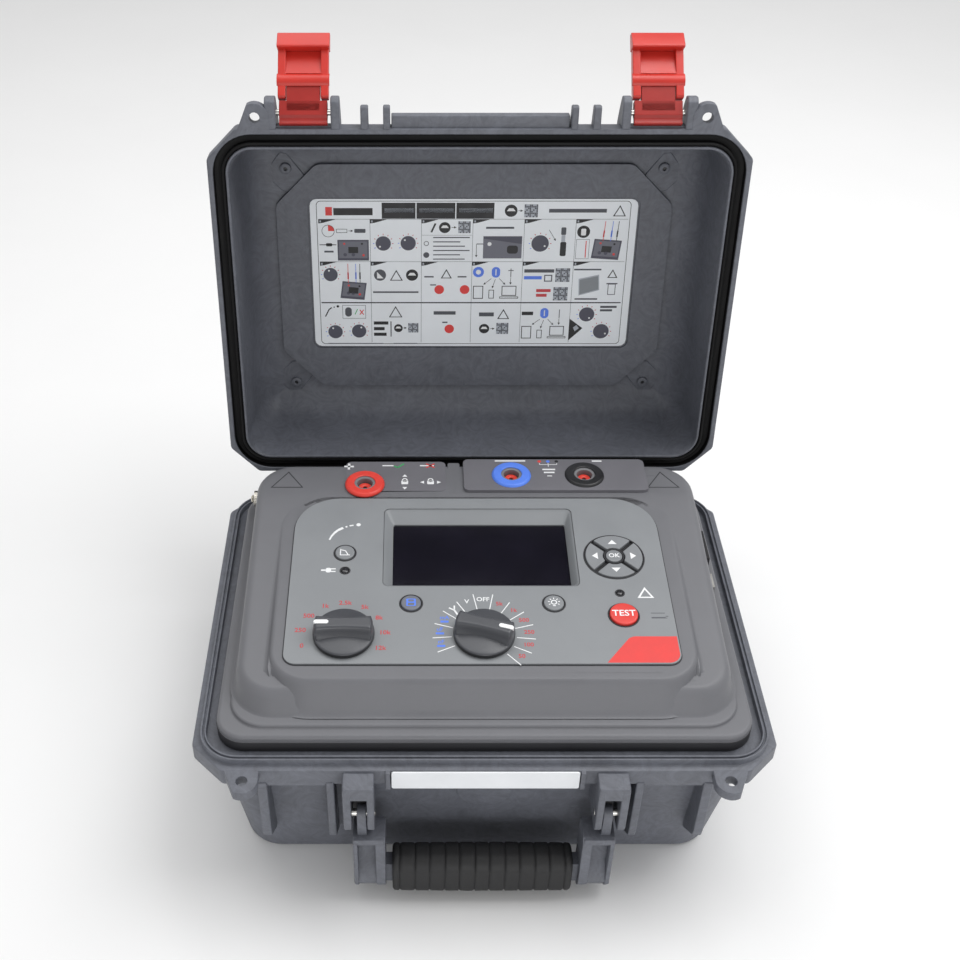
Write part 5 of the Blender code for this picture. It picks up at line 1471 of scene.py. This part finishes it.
def build_handle():
    """The frame's two arms with their end blocks, and the grooved rubber grip between them."""
    y, z = Vector(JOINTS["handle_pivot"]["pos_m"]).yz / MM
    foot = low_high("handle_frame")[0].z
    parts = []
    for side in (1, -1):
        arm = [(y - 5.2, 60.0)] + [(y + a, z + b) for a,
                                   b in arc((0, 0), 5.2, 180, 0, 16)] + [(y + 5.2, 60.0)]
        parts.append(slab("arm", span(side, 72.5, 78.4), arm, 0.6))
        frame_outline = [(y - 9.8, 20), (y - 9.8, 62), (y - 7.5, 65.6), (y + 7.5, 65.6), (y + 9.8, 62),
                         (y + 9.8, 17),
                         (y + 5.5, foot + 0.2), (y - 4.5, foot + 0.2)]
        parts.append(slab("cheek_out", span(side, 78.4, 81.3), frame_outline, 0.8))
        parts.append(slab("cheek_in", span(side, 61.2, 67.4), frame_outline, 0.8))
        parts.append(block("head", span(side, 62, 81.0), (y - 9.6, y + 9.6), (60.6, 65.5), 0.8, 3))
        floor = [(y - 2.0, 61.0), (y - 2.0, 34.0), (y - 9.4, 22.0), (y - 4.0, foot + 0.8),
                 (y + 9.4, foot + 4), (y + 9.4, 61.0)]
        parts.append(slab("web", span(side, 66, 79.5), floor, 0.5))
    parts.append(block("core", (-66, 66), (y - 4.9, y + 4.9), (16.1, 33.9), 0.5))
    assemble("handle_arms", [(part, CASE) for part in parts], "carry_handle", ["handle_frame"])
    low, high = low_high("handle_grip")
    deep, tall = (high.y - low.y) / 2, (high.z - low.z) / 2
    mid_y, mid_z = (high.y + low.y) / 2, (high.z + low.z) / 2
    rings = []
    for i in range(GRIP_RINGS + 1):
        x = low.x + (high.x - low.x) * i / GRIP_RINGS
        phase = ((x + GRIP_HALF) % GROOVE_PITCH) / GROOVE_PITCH
        groove = max(0.0, 1 - abs(phase - 0.5) / 0.09) * 0.9
        end = min(1.0, (GRIP_HALF - abs(x)) / 2.0)
        swell = 0.35 * math.cos(x / GRIP_HALF * math.pi / 2)
        shrink = groove + (1 - end) ** 2 * 1.4 - swell + 0.35
        outline = loop((-deep + shrink, deep - shrink), (-tall + shrink, tall - shrink), 9.0 - shrink * 0.5,
                       cuts=2)
        rings.append([(x, mid_y + a, mid_z + b) for a, b in outline])
    grip = skin("grip", rings)
    assemble("handle_sleeve", [(grip, RUBBER)], "carry_handle", ["handle_grip"], angle=60)


def build_latch(side, word):
    """Drawn shut and flat: the link lies along -Y from its pin and the lever carries on past the roll."""
    pin_y, pin_z = LATCH_PIN.yz
    roll = pin_y - LATCH_REACH
    mid = side * LATCH_PIN.x

    def around(points):
        return [(pin_y + a, pin_z + b) for a, b in points]

    def plate(name, half, profile, edge):
        return slab(name, (mid - half, mid + half), around(profile), edge)

    reach = LATCH_REACH
    back = arc((0, 0), 4.3, 30, 90, 8)
    web = [(1.0 - reach, -2.9), (0.0, -2.9), (0.0, 3.0), (1.0 - reach, 2.9)]
    foot = [(-6.9, -2.9), (2.6, -2.9), (4.2, -1.4), (6.4, -1.3), (7.4, -2.0), (8.3, -1.7), (8.3, 1.8)] + back
    foot += [(-3.0, 3.5), (-6.9, 2.9)]
    parts = [plate("web", 10.9, web, 0.3), plate("foot", 15.7, foot, 0.35)]
    for radius, half in ((3.9, 10.9), (2.4, 16.7)):
        parts.append(rod("roll", radius, (mid - half, roll, pin_z), (mid + half, roll, pin_z), 40))
    assemble("link_" + word, [(part, RED_DEEP) for part in parts], "latch_link_" + word,
             ["latch_link_" + word],
             LATCH_SWING)
    tip = -52.4
    wide, waist, inside = 17.1, 16.5, 11.4
    hook = [(tip, -0.6), (tip + 0.8, -1.9), (tip + 9.8, -6.5), (tip + 11.0, -6.6), (tip + 11.6, -5.6),
            (tip + 11.4, -2.0),
            (tip + 11.4, 3.9), (tip, 3.9)]
    lever = [plate("hook", wide, hook, 0.45)]
    for way in (1, -1):
        cheek = [(tip + 8, -2.7), (-reach - 4.0, -3.4), (-reach - 2.0, -4.0), (5.0 - reach, -3.9),
                 (10.2 - reach, -3.9),
                 (11.5 - reach, -2.6), (11.5 - reach, 2.4), (10.0 - reach, 3.9), (tip + 8, 3.9)]
        part = slab("cheek", tuple(sorted((mid + way * inside, mid + way * waist))), around(cheek), 0.55)
        lever.append(part)
    pad = [(tip + 11.5, 1.4), (tip + 13.5, 1.2), (-reach - 9.0, -1.6), (-reach - 4.6, -3.3),
           (-reach - 4.4, 3.9), (tip + 11.5, 3.9)]
    lever.append(plate("pad", inside + 0.3, pad, 0.3))
    cover = [(-reach - 4.7, 1.0)] + arc((-reach, 0), 5.3, 196, 318, 16) + arc((-reach, 0), 4.2, 312, 200, 12)
    lever.append(plate("roll_cover", wide, cover, 0.2))
    assemble("lever_" + word, [(part, RED) for part in lever], "latch_lever_" + word, ["latch_lever_" + word],
             LATCH_SWING)
    pin = rod("pin", 2.0, (side * 91.9, pin_y, pin_z), (side * 139.5, pin_y, pin_z), 32)
    assemble("lid_pin_" + word, [(pin, STEEL)], "lid", ["latch_pin_" + word], SWING)


def build_small():
    """Pins, the front plate, the earth thumb nut and its threaded stud."""
    for word in ("left", "right"):
        for node in ("handle_pin_", "hinge_pin_"):
            low, high = low_high(node + word)
            middle, radius = (low + high) / 2, (high.z - low.z) / 2
            pin = rod("pin", radius, (low.x, middle.y, middle.z), (high.x, middle.y, middle.z), 32, 0.5)
            assemble(node + word + "_turned", [(pin, STEEL)], "base", [node + word])
    low, high = low_high("name_plate")
    plate = prism("plate", [loop((low.x, high.x), (low.z, high.z), 1.4)], 0, 1.15, 0.3)
    plate.data.transform(Matrix.Translation((0, high.y * MM, 0)) @ Matrix.Rotation(math.radians(90), 4, "X"))
    assemble("front_plate", [(plate, PLATE)], "base", ["name_plate"])
    low, high = low_high("earth_nut")
    y, z = (low.y + high.y) / 2, (low.z + high.z) / 2
    knurl = [polar((y, z), 5 * i, 6.0 - 0.35 * (i % 2)) for i in range(72)]
    nut = slab("nut", (low.x, high.x), knurl, 0.2, 1)
    cut(nut, rod("bore", 3.3, (low.x - 2, y, z), (high.x + 2, y, z), 32))
    assemble("thumb_nut", [(nut, NICKEL)], "earth_thumb_nut", ["earth_nut"])
    low, high = low_high("earth_stud")
    profile = [(0, 16.7), (2.2, 16.7)]
    for i in range(13):
        profile += [(2.95, 16.0 - i * 0.8), (2.6, 15.6 - i * 0.8)]
    profile += [(2.95, 5.0), (2.95, 0), (0, 0)]
    stud = lathe("stud", profile, 40)
    stud.data.transform(Matrix.Translation((high.x * MM, y * MM,
                                            z * MM)) @ Matrix.Rotation(math.radians(-90), 4, "Y"))
    assemble("threaded_stud", [(stud, NICKEL)], "base", ["earth_stud"], angle=25)


def finish_cad_materials():
    """Materials for the CAD parts that are shown as they are."""
    for material, nodes in ((SCREEN, "display_window"), (CASE, "battery_cover"), (LABEL, "instruction_label"),
                            (BLACK, "lcd_module switch_body_left switch_body_right mains_inlet"),
                            (MODULE, "battery_pack_left battery_pack_right hv_module"),
                            (BOARD, "main_board charger_board"), (RUBBER, "keypad_mat"),
                            (STEEL, "switch_shaft_left switch_shaft_right usb_socket")):
        for node in nodes.split():
            item = frame["nodes"][node]
            item.data.materials.clear()
            item.data.materials.append(material)


# ---------------------------------------------------------------- stage
FLOOR_HALF = 6.0             # metres
SKY = 0.55
# name, place in metres, side in metres, watts
LIGHTS = (("key", (0.75, 0.2, 1.6), 1.2, 16), ("top", (-0.35, 0.55, 1.7), 1.3, 9),
          ("low", (0.1, -1.5, 0.22), 0.7, 5.5))


def build_stage():
    """A pale floor, an even sky and three soft lights."""
    floor = surface("floor_paper", (0.90, 0.90, 0.90), 0.75, 0.1, 0.01, 3)
    mesh = bpy.data.meshes.new("floor")
    corners = rectangle(-FLOOR_HALF, -FLOOR_HALF, FLOOR_HALF, FLOOR_HALF)
    mesh.from_pydata(at(corners, 0), [], [(0, 1, 2, 3)])
    ground = new_object("floor", mesh)
    ground.data.materials.append(floor)
    world = bpy.data.worlds.new("studio")
    bpy.context.scene.world = world
    world.use_nodes = True
    world.node_tree.nodes["Background"].inputs["Color"].default_value = (1, 1, 1, 1)
    world.node_tree.nodes["Background"].inputs["Strength"].default_value = SKY
    for name, place, size, power in LIGHTS:
        light = bpy.data.lights.new(name, "AREA")
        light.shape = "SQUARE"
        light.size = size
        light.energy = power
        lamp = bpy.data.objects.new(name, light)
        bpy.context.scene.collection.objects.link(lamp)
        lamp.location = place
        lamp.rotation_euler = (Vector((0, 0, 0.15)) - Vector(place)).to_track_quat("-Z", "Y").to_euler()


def build_camera():
    """The camera that the photographed view was fitted with."""
    camera = bpy.data.cameras.new("camera")
    camera.sensor_width = 36.0
    camera.lens = 48.66
    camera.shift_x = 0.0694
    camera.shift_y = 0.0054
    item = bpy.data.objects.new("camera", camera)
    bpy.context.scene.collection.objects.link(item)
    item.location = (-0.0437, -0.6244, 0.7437)
    item.rotation_euler = (math.radians(50.56), 0, 0)
    bpy.context.scene.camera = item
    bpy.context.scene.view_settings.view_transform = "Standard"


build_base()
build_lid()
build_seal()
build_panel()
build_overlay()
dial_marks()
overlay_print()
build_round_keys()
build_nav()
key_print()
for side_word in ("left", "right"):
    build_knob(side_word)
build_leds()
build_terminals()
deck_print()
build_handle()
for latch_side, side_word in ((1, "right"), (-1, "left")):
    build_latch(latch_side, side_word)
build_small()
build_label()
finish_cad_materials()
build_stage()
build_camera()
